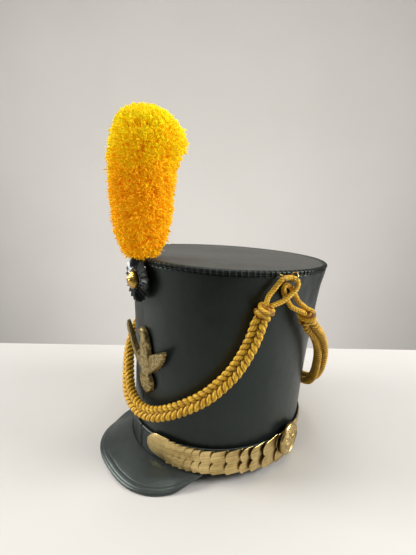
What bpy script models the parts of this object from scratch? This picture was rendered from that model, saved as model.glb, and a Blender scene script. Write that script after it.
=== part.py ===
"""A tall leather shako with a peak, chin scales, an eagle plate, a wool plume and plaited cap cords.

The hat stands on the plane z = 0. Its front faces -Y and the wearer's left is +X. Each piece is modelled in
the hat's own frame, where z = 0 is the plane of the head opening, and hangs from an empty that leans the
whole hat back until the edge of its peak rests on the ground. Lengths are in metres and angles in degrees.
An angle round the crown is counted from the front towards the wearer's left.
"""

from collections import namedtuple
from math import atan2, ceil, cos, pi, radians, sin, tan

import bpy
import numpy as np
from mathutils import Matrix, Vector

# Clearance between pieces that touch on the real hat
GAP = 0.0003

# Crown, measured outside the leather
BASE_HALF_LENGTH = 0.0999
BASE_HALF_WIDTH = 0.0971
TOP_HALF_LENGTH = 0.1144
TOP_HALF_WIDTH = 0.1059
TOP_SET_BACK = 0.0162
CROWN_HEIGHT = 0.2090
TOP_FALL = 0.062
FLARE_POWER = 2.24
WALL_THICKNESS = 0.0025
TOP_THICKNESS = 0.0025
TOP_OVERLAP = 0.0004
# The wall leans out most at its back, so the inner corner of its upper edge stands this much over the outer one
RIM_TUCK = WALL_THICKNESS * (TOP_SET_BACK + FLARE_POWER * (TOP_HALF_LENGTH - BASE_HALF_LENGTH)) / CROWN_HEIGHT
WALL_COLUMNS = 80
WALL_ROWS = 8
TOP_RINGS = (0.35, 0.65, 0.86, 1.0)

# Puckers and dents of the wall: angle, share of the height, their half spreads, and how far they stand out
Dent = namedtuple("Dent", "angle share half_angle half_share out")
DENTS = (
    Dent(92, 0.95, 5, 0.12, -0.0009),
    Dent(101, 0.93, 5, 0.14, 0.0008),
    Dent(109, 0.94, 4, 0.13, -0.0009),
    Dent(118, 0.92, 6, 0.16, 0.0008),
    Dent(129, 0.97, 7, 0.10, 0.0016),
    Dent(70, 0.55, 28, 0.30, -0.0012),
    Dent(205, 0.60, 30, 0.35, -0.0015),
    Dent(292, 0.50, 26, 0.30, -0.0012),
)

# Waves of the top: centre and spread as shares of its half sizes, and height
Wave = namedtuple("Wave", "across along spread height")
WAVES = (
    Wave(-0.45, -0.15, 0.50, -0.0012),
    Wave(-0.50, 0.40, 0.45, 0.0016),
    Wave(0.35, 0.25, 0.60, -0.0010),
)

# Band round the foot of the wall
BAND_BOTTOM = 0.0010
BAND_TOP = 0.0288
BAND_THICKNESS = 0.0016
BAND_COLUMNS = 80
BAND_END_ANGLE = 1.4

# Peak
PEAK_LENGTH = 0.0401
PEAK_HALF_WIDTH = 0.0745
PEAK_SQUARENESS = 2.55
PEAK_ROOT_ANGLE = 45.0
PEAK_ROOT_HEIGHT = 0.0034
PEAK_SEAT = 0.0020
PEAK_GAP = 0.0005
PEAK_DROP = 0.0092
PEAK_THICKNESS = 0.0030
PEAK_SWELL = 0.0012
PEAK_CORNER_SHARE = 0.72
PEAK_COLUMNS = 36
# Rows from the root to the edge, as shares, and the height of the rolled border there
PeakRow = namedtuple("PeakRow", "share rise")
PEAK_ROWS = (
    PeakRow(0.00, 0.0),
    PeakRow(0.30, 0.0),
    PeakRow(0.56, 0.0),
    PeakRow(0.78, 0.0),
    PeakRow(0.86, -0.0005),
    PeakRow(0.93, 0.0005),
    PeakRow(1.00, 0.0),
)

# Chin scales: run of the plates' middle line and half height over the angle
ScaleStation = namedtuple("ScaleStation", "angle middle half_height")
SCALE_RUN = (
    ScaleStation(8, 0.0190, 0.0100),
    ScaleStation(16, 0.0212, 0.0116),
    ScaleStation(24, 0.0204, 0.0128),
    ScaleStation(36, 0.0182, 0.0128),
    ScaleStation(50, 0.0170, 0.0126),
    ScaleStation(67, 0.0170, 0.0128),
    ScaleStation(81, 0.0172, 0.0140),
    ScaleStation(91, 0.0176, 0.0160),
    ScaleStation(116, 0.0180, 0.0165),
)
# The run on the hidden right side stops short of the front, so it has a later tip and fewer plates
ScaleRun = namedtuple("ScaleRun", "label side tip_front first_edge")
SCALE_RUNS = (
    ScaleRun("left", 1, 8.5, 0),
    ScaleRun("right", -1, 33.0, 5),
)
# Front edge of each plate, from the front of the hat backwards. The last is the end plate under the boss
SCALE_EDGES = (24.4, 28.5, 32.4, 36.6, 40.8, 45.1, 51.2, 59.2, 67.3, 73.2, 81.0, 91.0)
SCALE_TUCK_ANGLE = 1.5
SCALE_THICKNESS = 0.0007
SCALE_LIFT = 0.0014
SCALE_LOBE_ANGLE = 1.3
SCALE_ROWS = 8
SCALE_COLUMNS = 2
END_PLATE_BACK_ANGLE = 113.0
STRAP_THICKNESS = 0.0012
STRAP_SHARE = 0.72
STRAP_INSET_ANGLE = 2.5
BOSS_ANGLE = 101.5
BOSS_HEIGHT = 0.0226
BOSS_RADIUS = 0.0178
BOSS_EDGE = 0.0012
BOSS_DOME = 0.0018
BOSS_STEPS = 32

# Plain strip round the back, just under the band's upper edge
BACK_STRIP_BELOW_BAND_TOP = 0.0006
BACK_STRIP_HEIGHT = 0.0104
BACK_STRIP_THICKNESS = 0.0009
BACK_STRIP_COLUMNS = 40

# Cockade, its button, and the stem of the plume behind it
COCKADE_BELOW_TOP = 0.0150
COCKADE_HEIGHT = CROWN_HEIGHT - COCKADE_BELOW_TOP
COCKADE_ACROSS = 0.0024
COCKADE_RADIUS = 0.0222
COCKADE_EDGE_THICKNESS = 0.0022
COCKADE_DOME = 0.0028
COCKADE_PLEATS = 22
COCKADE_PLEAT_DEPTH = 0.0008
COCKADE_NOTCH = 0.0012
COCKADE_RINGS = (0.42, 0.72, 1.0)
BUTTON_RADIUS = 0.0090
BUTTON_EDGE = 0.0022
BUTTON_DOME = 0.0044
STEM_RADIUS = 0.0010
STEM_BELOW_COCKADE_MIDDLE = 0.0120
STEM_BOTTOM = COCKADE_HEIGHT - STEM_BELOW_COCKADE_MIDDLE

# Plume: height above its foot, shift across and along, and radius, as shares of its height
PLUME_ABOVE_TOP = 0.0088
PLUME_FOOT = CROWN_HEIGHT + PLUME_ABOVE_TOP
PLUME_ACROSS = 0.0005
PLUME_BEHIND_FRONT = 0.0027
PLUME_ALONG = TOP_SET_BACK - TOP_HALF_LENGTH + PLUME_BEHIND_FRONT
PLUME_HEIGHT = 0.1364
PlumeRow = namedtuple("PlumeRow", "share across along radius")
PLUME_ROWS = (
    PlumeRow(0.000, -0.006, 0.000, 0.105),
    PlumeRow(0.045, -0.010, 0.002, 0.140),
    PlumeRow(0.150, -0.006, 0.002, 0.186),
    PlumeRow(0.300, -0.004, 0.006, 0.212),
    PlumeRow(0.450, -0.006, 0.008, 0.224),
    PlumeRow(0.600, -0.004, 0.012, 0.234),
    PlumeRow(0.700, 0.010, 0.028, 0.252),
    PlumeRow(0.760, 0.026, 0.052, 0.270),
    PlumeRow(0.840, 0.024, 0.046, 0.244),
    PlumeRow(0.920, 0.016, 0.030, 0.182),
    PlumeRow(0.980, 0.008, 0.020, 0.084),
)
PLUME_SIDES = 24

# Eagle plate: outline as shares of its width and height, from the tip of its right wing onwards
EAGLE_ANGLE = 4.2
EAGLE_MIDDLE = 0.1065
EAGLE_WIDTH = 0.0750
EAGLE_HEIGHT = 0.0730
EAGLE_THICKNESS = 0.0020
EAGLE_CLEARANCE = 0.0005
OutlinePoint = namedtuple("OutlinePoint", "across up corner")
EAGLE_OUTLINE = (
    OutlinePoint(-0.50, 0.48, True),
    OutlinePoint(-0.44, 0.49, False),
    OutlinePoint(-0.33, 0.33, False),
    OutlinePoint(-0.17, 0.08, True),
    OutlinePoint(-0.13, 0.22, False),
    OutlinePoint(-0.12, 0.36, False),
    OutlinePoint(-0.17, 0.44, True),
    OutlinePoint(-0.08, 0.50, False),
    OutlinePoint(0.03, 0.46, False),
    OutlinePoint(0.10, 0.28, False),
    OutlinePoint(0.12, 0.14, True),
    OutlinePoint(0.30, 0.23, False),
    OutlinePoint(0.50, 0.32, True),
    OutlinePoint(0.46, 0.19, False),
    OutlinePoint(0.38, 0.06, False),
    OutlinePoint(0.26, -0.06, False),
    OutlinePoint(0.11, -0.16, True),
    OutlinePoint(0.18, -0.26, False),
    OutlinePoint(0.17, -0.38, False),
    OutlinePoint(0.04, -0.50, True),
    OutlinePoint(-0.10, -0.42, False),
    OutlinePoint(-0.14, -0.30, False),
    OutlinePoint(-0.11, -0.17, True),
    OutlinePoint(-0.24, -0.04, False),
    OutlinePoint(-0.36, 0.14, False),
    OutlinePoint(-0.45, 0.34, False),
)
EAGLE_CURVE_STEPS = 3

# Wire rings at the top of each side, which hold the cap cords
RING_ANGLES = (77.6, 83.9)
RING_TILTS = (38, -30)
RING_BELOW_TOP = 0.0042
RING_HEIGHT = CROWN_HEIGHT - RING_BELOW_TOP
RING_RADIUS = 0.0047
RING_WIRE_RADIUS = 0.0006
# How far the edge of the top stands out from the wall at the height of the rings
RIM_OVERHANG = TOP_OVERLAP + FLARE_POWER * (TOP_HALF_WIDTH - BASE_HALF_WIDTH) * RING_BELOW_TOP / CROWN_HEIGHT
RING_OUT = RING_RADIUS + RING_WIRE_RADIUS + RIM_OVERHANG + GAP
RING_STEPS = 16
RING_WIRE_STEPS = 6

# Cap cords. Each row of a route is an angle, a height and how far the middle of the cord lies off the wall.
# The front loop hangs in the lower part of both rings
CordPoint = namedtuple("CordPoint", "angle height off")
PLAIT_RADIUS = 0.0080
KNOT_RADIUS = 0.0085
KNOT_LENGTH = 0.0120
LOOP_RADIUS = 0.0025
LOOP_SPREAD = 0.0032
LOOP_LEAD = 0.0040
PLAIT_SPACING = 0.0200
CORD_JOINT_GAP = 0.0010
LOOP_SPACING = 0.0045
CORD_END_STEP = 0.0020
CORD_BEVEL_RESOLUTION = 2
FRONT_ROUTE = (
    CordPoint(71.4, 0.1798, 0.0093),
    CordPoint(69.5, 0.1719, 0.0093),
    CordPoint(68.2, 0.1640, 0.0096),
    CordPoint(65.3, 0.1432, 0.0099),
    CordPoint(59.2, 0.1190, 0.0104),
    CordPoint(51.0, 0.1000, 0.0110),
    CordPoint(43.0, 0.0868, 0.0116),
    CordPoint(31.0, 0.0725, 0.0118),
    CordPoint(19.0, 0.0612, 0.0116),
    CordPoint(7.5, 0.0562, 0.0112),
    CordPoint(-3.0, 0.0572, 0.0106),
    CordPoint(-12.0, 0.0605, 0.0100),
    CordPoint(-20.0, 0.0665, 0.0094),
    CordPoint(-28.0, 0.0745, 0.0096),
    CordPoint(-36.0, 0.0842, 0.0113),
    CordPoint(-43.0, 0.0960, 0.0128),
    CordPoint(-51.0, 0.1090, 0.0130),
    CordPoint(-59.0, 0.1240, 0.0118),
    CordPoint(-65.0, 0.1430, 0.0104),
    CordPoint(-68.2, 0.1640, 0.0096),
    CordPoint(-69.5, 0.1719, 0.0093),
    CordPoint(-71.4, 0.1798, 0.0093),
)
BACK_ROUTE = (
    CordPoint(92.6, 0.1690, 0.0133),
    CordPoint(94.6, 0.1620, 0.0138),
    CordPoint(96.8, 0.1552, 0.0143),
    CordPoint(100.6, 0.1480, 0.0148),
    CordPoint(105.6, 0.1400, 0.0152),
    CordPoint(112.6, 0.1262, 0.0159),
    CordPoint(119.0, 0.1100, 0.0167),
    CordPoint(124.6, 0.0935, 0.0165),
    CordPoint(132.0, 0.0760, 0.0160),
    CordPoint(142.0, 0.0580, 0.0150),
    CordPoint(154.0, 0.0470, 0.0142),
    CordPoint(168.0, 0.0420, 0.0136),
    CordPoint(180.0, 0.0410, 0.0134),
)
THREADED_HEIGHT = RING_HEIGHT - (RING_RADIUS - RING_WIRE_RADIUS - LOOP_RADIUS - GAP)
FRONT_LOOP = (
    CordPoint(71.6, 0.1885, 0.0072),
    CordPoint(74.0, RING_HEIGHT - 0.0104, 0.0062),
    CordPoint(RING_ANGLES[0], THREADED_HEIGHT, RING_OUT),
    CordPoint(80.8, THREADED_HEIGHT + 0.0012, RING_OUT),
    CordPoint(RING_ANGLES[1], THREADED_HEIGHT, RING_OUT),
    CordPoint(86.0, RING_HEIGHT - 0.0038, 0.0069),
    CordPoint(86.3, RING_HEIGHT - 0.0074, 0.0083),
    CordPoint(84.9, RING_HEIGHT - 0.0122, 0.0094),
    CordPoint(81.8, 0.1877, 0.0097),
    CordPoint(78.4, 0.1835, 0.0097),
)
BACK_LOOP = (
    CordPoint(85.6, 0.1750, 0.0080),
    CordPoint(83.9, 0.1800, 0.0048),
    CordPoint(82.0, 0.1860, 0.0034),
    CordPoint(80.6, 0.1912, 0.0033),
    CordPoint(80.5, 0.1952, 0.0033),
    CordPoint(81.9, 0.1968, 0.0033),
    CordPoint(83.8, 0.1953, 0.0033),
    CordPoint(86.1, 0.1910, 0.0033),
    CordPoint(88.7, 0.1844, 0.0040),
    CordPoint(89.8, 0.1790, 0.0070),
)

# The edge of the peak and the back of the rim touch the ground
LEAN = atan2(PEAK_DROP, 2 * BASE_HALF_LENGTH + PEAK_LENGTH)

SIDES = (("left", 1), ("right", -1))


def clear_scene():
    for old in list(bpy.data.objects):
        bpy.data.objects.remove(old, do_unlink=True)


def make_material(name, colour, roughness, metallic=0.0):
    material = bpy.data.materials.new(name)
    material.use_nodes = True
    shader = material.node_tree.nodes["Principled BSDF"]
    shader.inputs["Base Color"].default_value = (*colour, 1.0)
    shader.inputs["Roughness"].default_value = roughness
    shader.inputs["Metallic"].default_value = metallic
    material.diffuse_color = (*colour, 1.0)
    return material


def make_materials():
    return {
        "leather": make_material("black_leather", (0.022, 0.026, 0.028), 0.45),
        "top": make_material("top_leather", (0.075, 0.078, 0.075), 0.55),
        "brass": make_material("brass", (0.62, 0.45, 0.20), 0.35, 1.0),
        "aged_brass": make_material("aged_brass", (0.36, 0.27, 0.13), 0.5, 1.0),
        "cord": make_material("gold_cord", (0.62, 0.34, 0.04), 0.6),
        "wool": make_material("yellow_wool", (0.90, 0.42, 0.01), 0.9),
        "gilt": make_material("gilt_strip", (0.50, 0.33, 0.12), 0.45, 0.6),
    }


def ring_y(angle, share):
    half_length = BASE_HALF_LENGTH + (TOP_HALF_LENGTH - BASE_HALF_LENGTH) * share**FLARE_POWER
    return TOP_SET_BACK * share - half_length * cos(radians(angle))


def crown_point(angle, share, out=0.0):
    """A point of the wall's outer surface, or out metres off it, at a share of the crown's height."""
    flare = share**FLARE_POWER
    half_width = BASE_HALF_WIDTH + (TOP_HALF_WIDTH - BASE_HALF_WIDTH) * flare
    half_length = BASE_HALF_LENGTH + (TOP_HALF_LENGTH - BASE_HALF_LENGTH) * flare
    turn = radians(angle)
    y = ring_y(angle, share)
    outward = Vector((sin(turn) / half_width, -cos(turn) / half_length, 0)).normalized()
    height = CROWN_HEIGHT * share - TOP_FALL * share * y
    return Vector((half_width * sin(turn), y, height)) + outward * out


def crown_at(angle, height, out=0.0):
    """The same for a height in metres."""
    share = max(height, 0.0) / CROWN_HEIGHT
    for _ in range(4):
        share = max(height, 0.0) / (CROWN_HEIGHT - TOP_FALL * ring_y(angle, share))
    point = crown_point(angle, share, out)
    point.z = height
    return point


def soft_bump(distance, half_spread):
    """1 in the middle, falling smoothly to 0 at the half spread."""
    return (0.5 + 0.5 * cos(pi * distance / half_spread)) if abs(distance) < half_spread else 0.0


def dent_at(angle, share):
    total = 0.0
    for dent in DENTS:
        turn = (angle - dent.angle + 180) % 360 - 180
        total += dent.out * soft_bump(turn, dent.half_angle) * soft_bump(share - dent.share, dent.half_share)
    return total


def between(rows, position, key, value):
    """Reads a column of a table at a position, straight between its rows."""
    keys = [getattr(row, key) for row in rows]
    return float(np.interp(position, keys, [getattr(row, value) for row in rows]))


def smooth_curve(points, spacing):
    """Even points on a smooth curve through the given ones."""
    points = np.array([tuple(point) for point in points])
    padded = np.vstack([2 * points[0] - points[1], points, 2 * points[-1] - points[-2]])
    fine = []
    for before, start, end, after in zip(padded, padded[1:], padded[2:], padded[3:]):
        for t in np.linspace(0, 1, 24, endpoint=False):
            fine.append(
                0.5 * (2 * start + (end - before) * t + (2 * before - 5 * start + 4 * end - after) * t**2
                       + (3 * start - before - 3 * end + after) * t**3)
            )
    fine = np.array([*fine, points[-1]])
    travelled = np.concatenate([[0], np.cumsum(np.linalg.norm(np.diff(fine, axis=0), axis=1))])
    count = max(2, ceil(travelled[-1] / spacing) + 1)
    stops = np.linspace(0, travelled[-1], count)
    return np.stack([np.interp(stops, travelled, fine[:, axis]) for axis in range(3)], axis=1)


def stretch_of(points, start, end, spacing):
    """The part of a curve between two distances along it. Short end steps keep its end faces square."""
    travelled = np.concatenate([[0], np.cumsum(np.linalg.norm(np.diff(points, axis=0), axis=1))])
    count = max(2, ceil((end - start) / spacing) + 1)
    stops = [start, *np.linspace(start + CORD_END_STEP, end - CORD_END_STEP, count), end]
    return np.stack([np.interp(stops, travelled, points[:, axis]) for axis in range(3)], axis=1)


class Builder:
    """Adds pieces to one collection, each under the empty that leans the hat."""

    def __init__(self):
        self.collection = bpy.data.collections.new("shako_hat")
        bpy.context.scene.collection.children.link(self.collection)
        self.lean = bpy.data.objects.new("hat_lean", None)
        self.lean.location = (0, 0, BASE_HALF_LENGTH * sin(LEAN))
        self.lean.rotation_euler = (-LEAN, 0, 0)
        self.collection.objects.link(self.lean)
        self.materials = make_materials()

    def add(self, name, data, material):
        piece = bpy.data.objects.new(name, data)
        data.materials.append(self.materials[material])
        self.collection.objects.link(piece)
        piece.parent = self.lean
        return piece

    def add_mesh(self, name, points, faces, material):
        mesh = bpy.data.meshes.new(name)
        mesh.from_pydata([tuple(point) for point in points], [], faces)
        mesh.validate()
        mesh.shade_smooth()
        mesh.set_sharp_from_angle(angle=radians(35))
        return self.add(name, mesh, material)

    def add_sheet(self, name, rows, thickness, material, closed=False):
        """A skin through rows of points, thickened inwards. Rows run upwards, and each turns to the left."""
        columns = len(rows[0])
        points = [point for row in rows for point in row]
        faces = []
        for r in range(len(rows) - 1):
            for c in range(columns if closed else columns - 1):
                nxt = (c + 1) % columns
                low, high = r * columns, (r + 1) * columns
                faces.append((low + c, low + nxt, high + nxt, high + c))
        piece = self.add_mesh(name, points, faces, material)
        thicken(piece, thickness)
        return piece

    def add_tube(self, name, points, radius, material):
        curve = bpy.data.curves.new(name, "CURVE")
        curve.dimensions = "3D"
        curve.bevel_depth = radius
        curve.bevel_resolution = CORD_BEVEL_RESOLUTION
        curve.use_fill_caps = True
        spline = curve.splines.new("POLY")
        spline.points.add(len(points) - 1)
        for slot, point in zip(spline.points, points):
            slot.co = (*point, 1.0)
        return self.add(name, curve, material)


def thicken(piece, thickness):
    solidify = piece.modifiers.new("Thickness", "SOLIDIFY")
    solidify.thickness = thickness
    solidify.offset = -1
    solidify.use_even_offset = True


def around(columns):
    return [360.0 * column / columns for column in range(columns)]


def make_crown_wall(build):
    top_share = 1 - (TOP_THICKNESS + GAP + RIM_TUCK) / CROWN_HEIGHT
    rows = []
    for share in np.linspace(0, top_share, WALL_ROWS):
        rows.append([crown_point(angle, share, dent_at(angle, share)) for angle in around(WALL_COLUMNS)])
    build.add_sheet("crown_wall", rows, WALL_THICKNESS, "leather", closed=True)


def top_wave(across, along):
    """Height of the top's waves, which die out at its edge."""
    radius = (across**2 + along**2) ** 0.5
    total = sum(
        wave.height * soft_bump(((across - wave.across) ** 2 + (along - wave.along) ** 2) ** 0.5, wave.spread)
        for wave in WAVES
    )
    return total * min(1.0, (1 - radius) / 0.25) if radius < 1 else 0.0


def top_point(angle, share):
    """A point of the top's upper surface at a share of the way out to its edge."""
    edge = crown_point(angle, 1.0, TOP_OVERLAP + max(0.0, dent_at(angle, 1.0)))
    x = edge.x * share
    y = TOP_SET_BACK + (edge.y - TOP_SET_BACK) * share
    wave = top_wave(x / TOP_HALF_WIDTH, (y - TOP_SET_BACK) / TOP_HALF_LENGTH)
    return Vector((x, y, CROWN_HEIGHT - TOP_FALL * y + wave))


def make_crown_top(build):
    points = [top_point(0, 0)]
    faces = []
    for ring, share in enumerate(TOP_RINGS):
        first = 1 + ring * WALL_COLUMNS
        points += [top_point(angle, share) for angle in around(WALL_COLUMNS)]
        for c in range(WALL_COLUMNS):
            nxt = (c + 1) % WALL_COLUMNS
            if ring == 0:
                faces.append((0, first + c, first + nxt))
            else:
                inner = first - WALL_COLUMNS
                faces.append((inner + c, first + c, first + nxt, inner + nxt))
    thicken(build.add_mesh("crown_top", points, faces, "top"), TOP_THICKNESS)


def make_lower_band(build):
    out = GAP + BAND_THICKNESS
    angles = np.linspace(BAND_END_ANGLE, 360 - BAND_END_ANGLE, BAND_COLUMNS + 1)
    rows = [[crown_at(angle, height, out) for angle in angles] for height in (BAND_BOTTOM, BAND_TOP)]
    build.add_sheet("lower_band", rows, BAND_THICKNESS, "leather")


def ground_height(y):
    """Height of the ground in the hat's own frame."""
    return -(BASE_HALF_LENGTH - y) * tan(LEAN)


def peak_edge(across):
    """A point of the peak's outline. across runs from -1 at the right corner to 1 at the left one."""
    turn = across * pi / 2
    power = 2 / PEAK_SQUARENESS
    root_y = ring_y(PEAK_ROOT_ANGLE, 0)
    depth = BASE_HALF_LENGTH + PEAK_LENGTH + root_y
    x = PEAK_HALF_WIDTH * abs(sin(turn)) ** power * (1 if across > 0 else -1)
    y = root_y - depth * abs(cos(turn)) ** power
    corner = max(0.0, (abs(across) - PEAK_CORNER_SHARE) / (1 - PEAK_CORNER_SHARE))
    rise = corner**2 * (3 - 2 * corner)
    low = ground_height(y) + PEAK_THICKNESS
    return Vector((x, y, low + (PEAK_ROOT_HEIGHT - low) * rise))


def peak_root(across, out):
    """A point of the peak's level seat, which meets the band all along its root."""
    return crown_at(PEAK_ROOT_ANGLE * across, PEAK_ROOT_HEIGHT, GAP + BAND_THICKNESS + PEAK_GAP + out)


def peak_point(across, row):
    seat = peak_root(across, PEAK_SEAT)
    edge = peak_edge(across)
    point = seat.lerp(edge, row.share)
    reach = min(1.0, (edge - seat).length / PEAK_LENGTH)
    point.z += reach * (PEAK_SWELL * sin(pi * row.share) + row.rise)
    return point


def make_peak(build):
    steps = np.linspace(-1, 1, PEAK_COLUMNS + 1)
    rows = [[peak_point(across, row) for across in steps] for row in reversed(PEAK_ROWS)]
    rows.append([peak_root(across, 0.0) for across in steps])
    build.add_sheet("peak", rows, PEAK_THICKNESS, "leather")


def strap_out():
    """How far the strap's outer face lies off the wall, over the band."""
    return 2 * GAP + BAND_THICKNESS + STRAP_THICKNESS


def scale_row_height(angle, level):
    """Height of a level from -1, the lower edge of the run, to 1, its upper edge."""
    middle = between(SCALE_RUN, angle, "angle", "middle")
    return middle + level * between(SCALE_RUN, angle, "angle", "half_height")


def side_point(side, angle, height, out):
    point = crown_at(angle, height, out)
    point.x *= side
    return point


def add_side_sheet(build, name, side, rows, thickness, material):
    """A sheet on one side of the hat. The rows are made for the left side and mirrored for the right."""
    placed = [[side_point(side, *spot) for spot in row] for row in rows]
    if side < 0:
        placed = [row[::-1] for row in placed]
    build.add_sheet(name, placed, thickness, material)


def lobed_edge(level):
    """Two round lobes over the height of a plate: 0 at their crests, 1 at the notch and the corners."""
    return 1 - abs(sin(pi * level)) ** 0.6


def make_scale_plate(build, name, side, front, back):
    """One plate. Its scalloped front edge stands up by the lift, and its back edge lies under the next."""
    base = strap_out() + GAP + SCALE_THICKNESS
    rows = []
    for level in np.linspace(-1, 1, SCALE_ROWS + 1):
        edge = front + SCALE_LOBE_ANGLE * lobed_edge(level)
        row = []
        for step in np.linspace(0, 1, SCALE_COLUMNS + 1):
            angle = edge + (back - edge) * step
            row.append((angle, scale_row_height(angle, level), base + SCALE_LIFT * (1 - step)))
        rows.append(row)
    add_side_sheet(build, name, side, rows, SCALE_THICKNESS, "brass")


def make_tip(build, run):
    """The rounded tongue at the front end of a run of scales."""
    base = strap_out() + GAP + SCALE_THICKNESS
    back = SCALE_EDGES[run.first_edge] + SCALE_TUCK_ANGLE
    rows = []
    for level in np.linspace(-1, 1, SCALE_ROWS + 1):
        row = []
        for step in np.linspace(0, 1, 4 * SCALE_COLUMNS + 1):
            angle = run.tip_front + (back - run.tip_front) * step
            rounded = sin(min(1.0, 0.16 + 2.3 * step) * pi / 2) ** 0.8
            row.append((angle, scale_row_height(angle, level * rounded), base))
        rows.append(row)
    add_side_sheet(build, f"scale_tip_{run.label}", run.side, rows, SCALE_THICKNESS, "brass")


def make_strap(build, run):
    base = strap_out()
    rows = []
    for level in (-STRAP_SHARE, STRAP_SHARE):
        angles = np.linspace(run.tip_front + STRAP_INSET_ANGLE, END_PLATE_BACK_ANGLE - STRAP_INSET_ANGLE, 37)
        rows.append([(angle, scale_row_height(angle, level), base) for angle in angles])
    add_side_sheet(build, f"scale_strap_{run.label}", run.side, rows, STRAP_THICKNESS, "leather")


def wall_frame(angle, height, out, side=1):
    """A matrix whose origin lies off the wall, with Z pointing out of it and Y up."""
    at = crown_at(angle, height, out)
    outward = (crown_at(angle, height, out + 0.01) - at).normalized()
    at.x *= side
    outward.x *= side
    up = Vector((0, 0, 1))
    across = up.cross(outward).normalized()
    return Matrix.Translation(at) @ Matrix((across, up, outward)).transposed().to_4x4()


def add_turned(build, name, profile, steps, material, frame):
    """A turned piece. Its profile of (radius, height) pairs runs from the axis down its outer side."""
    mesh = bpy.data.meshes.new(name)
    edges = [(i, i + 1) for i in range(len(profile) - 1)]
    mesh.from_pydata([(radius, 0, height) for radius, height in profile], edges, [])
    piece = build.add(name, mesh, material)
    piece.matrix_local = frame
    screw = piece.modifiers.new("Turn", "SCREW")
    screw.steps = steps
    screw.render_steps = steps
    screw.use_merge_vertices = True
    screw.merge_threshold = 0.00001
    screw.use_smooth_shade = True
    return piece


def dome_profile(radius, edge, dome, rings=4):
    turns = [pi / 2 * i / rings for i in range(rings + 1)]
    return [*((radius * sin(turn), edge + dome * cos(turn)) for turn in turns), (radius, 0.0), (0.0, 0.0)]


def make_scales(build):
    for run in SCALE_RUNS:
        make_strap(build, run)
        make_tip(build, run)
        edges = SCALE_EDGES[run.first_edge:]
        for number, (front, following) in enumerate(zip(edges, edges[1:]), start=1):
            name = f"scale_plate_{run.label}_{number:02d}"
            make_scale_plate(build, name, run.side, front, following + SCALE_TUCK_ANGLE)
        make_scale_plate(build, f"scale_end_plate_{run.label}", run.side, edges[-1], END_PLATE_BACK_ANGLE)
        boss_out = strap_out() + 2 * GAP + SCALE_THICKNESS + SCALE_LIFT
        profile = dome_profile(BOSS_RADIUS, BOSS_EDGE, BOSS_DOME)
        frame = wall_frame(BOSS_ANGLE, BOSS_HEIGHT, boss_out, run.side)
        add_turned(build, f"boss_{run.label}", profile, BOSS_STEPS, "brass", frame)


def make_back_strip(build):
    out = 2 * GAP + BAND_THICKNESS + BACK_STRIP_THICKNESS
    start = END_PLATE_BACK_ANGLE + 0.5
    angles = np.linspace(start, 360 - start, BACK_STRIP_COLUMNS + 1)
    top = BAND_TOP - BACK_STRIP_BELOW_BAND_TOP
    heights = (top - BACK_STRIP_HEIGHT, top)
    rows = [[crown_at(angle, height, out) for angle in angles] for height in heights]
    build.add_sheet("back_strip", rows, BACK_STRIP_THICKNESS, "gilt")


def stem_y():
    """The stem stands just in front of the edge of the top."""
    return top_point(0, 1).y - GAP - STEM_RADIUS


def make_stem(build):
    length = PLUME_FOOT - GAP - STEM_BOTTOM
    bpy.ops.mesh.primitive_cylinder_add(vertices=12, radius=STEM_RADIUS, depth=length)
    stem = bpy.context.object
    mesh = stem.data
    bpy.data.objects.remove(stem)
    piece = build.add("plume_stem", mesh, "brass")
    mesh.name = "plume_stem"
    piece.location = (PLUME_ACROSS, stem_y(), STEM_BOTTOM + length / 2)


def cockade_back_y():
    return stem_y() - STEM_RADIUS - GAP


def cockade_front(share):
    """Depth of the cockade's front face at a share of its radius."""
    return COCKADE_EDGE_THICKNESS + COCKADE_DOME * (1 - share**2)


def make_cockade(build):
    """A pleated disc: each pleat is a fold whose crest stands out and whose end is a tooth of the edge."""
    spokes = 4 * COCKADE_PLEATS
    points = [(0, 0, cockade_front(0)), (0, 0, 0)]
    for share in COCKADE_RINGS:
        for spoke in range(spokes):
            turn = 2 * pi * spoke / spokes
            crest = cos(2 * pi * spoke / 4)
            radius = COCKADE_RADIUS * share + (COCKADE_NOTCH / 2 * crest if share == 1.0 else 0.0)
            depth = cockade_front(share) + COCKADE_PLEAT_DEPTH * crest * share
            points.append((radius * cos(turn), radius * sin(turn), depth))
    back = len(points)
    for spoke in range(spokes):
        turn = 2 * pi * spoke / spokes
        radius = COCKADE_RADIUS + COCKADE_NOTCH / 2 * cos(2 * pi * spoke / 4)
        points.append((radius * cos(turn), radius * sin(turn), 0))
    faces = []
    for spoke in range(spokes):
        nxt = (spoke + 1) % spokes
        faces.append((0, 2 + spoke, 2 + nxt))
        for ring in range(len(COCKADE_RINGS) - 1):
            low = 2 + ring * spokes
            faces.append((low + spoke, low + spokes + spoke, low + spokes + nxt, low + nxt))
        outer = 2 + (len(COCKADE_RINGS) - 1) * spokes
        faces.append((outer + spoke, back + spoke, back + nxt, outer + nxt))
        faces.append((1, back + nxt, back + spoke))
    piece = build.add_mesh("cockade", points, faces, "leather")
    piece.location = (COCKADE_ACROSS, cockade_back_y(), COCKADE_HEIGHT)
    piece.rotation_euler = (pi / 2, 0, 0)


def make_button(build):
    y = cockade_back_y() - cockade_front(0) - GAP
    frame = Matrix.Translation((COCKADE_ACROSS, y, COCKADE_HEIGHT)) @ Matrix.Rotation(pi / 2, 4, "X")
    profile = dome_profile(BUTTON_RADIUS, BUTTON_EDGE, BUTTON_DOME)
    add_turned(build, "cockade_button", profile, 24, "brass", frame)


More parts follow.
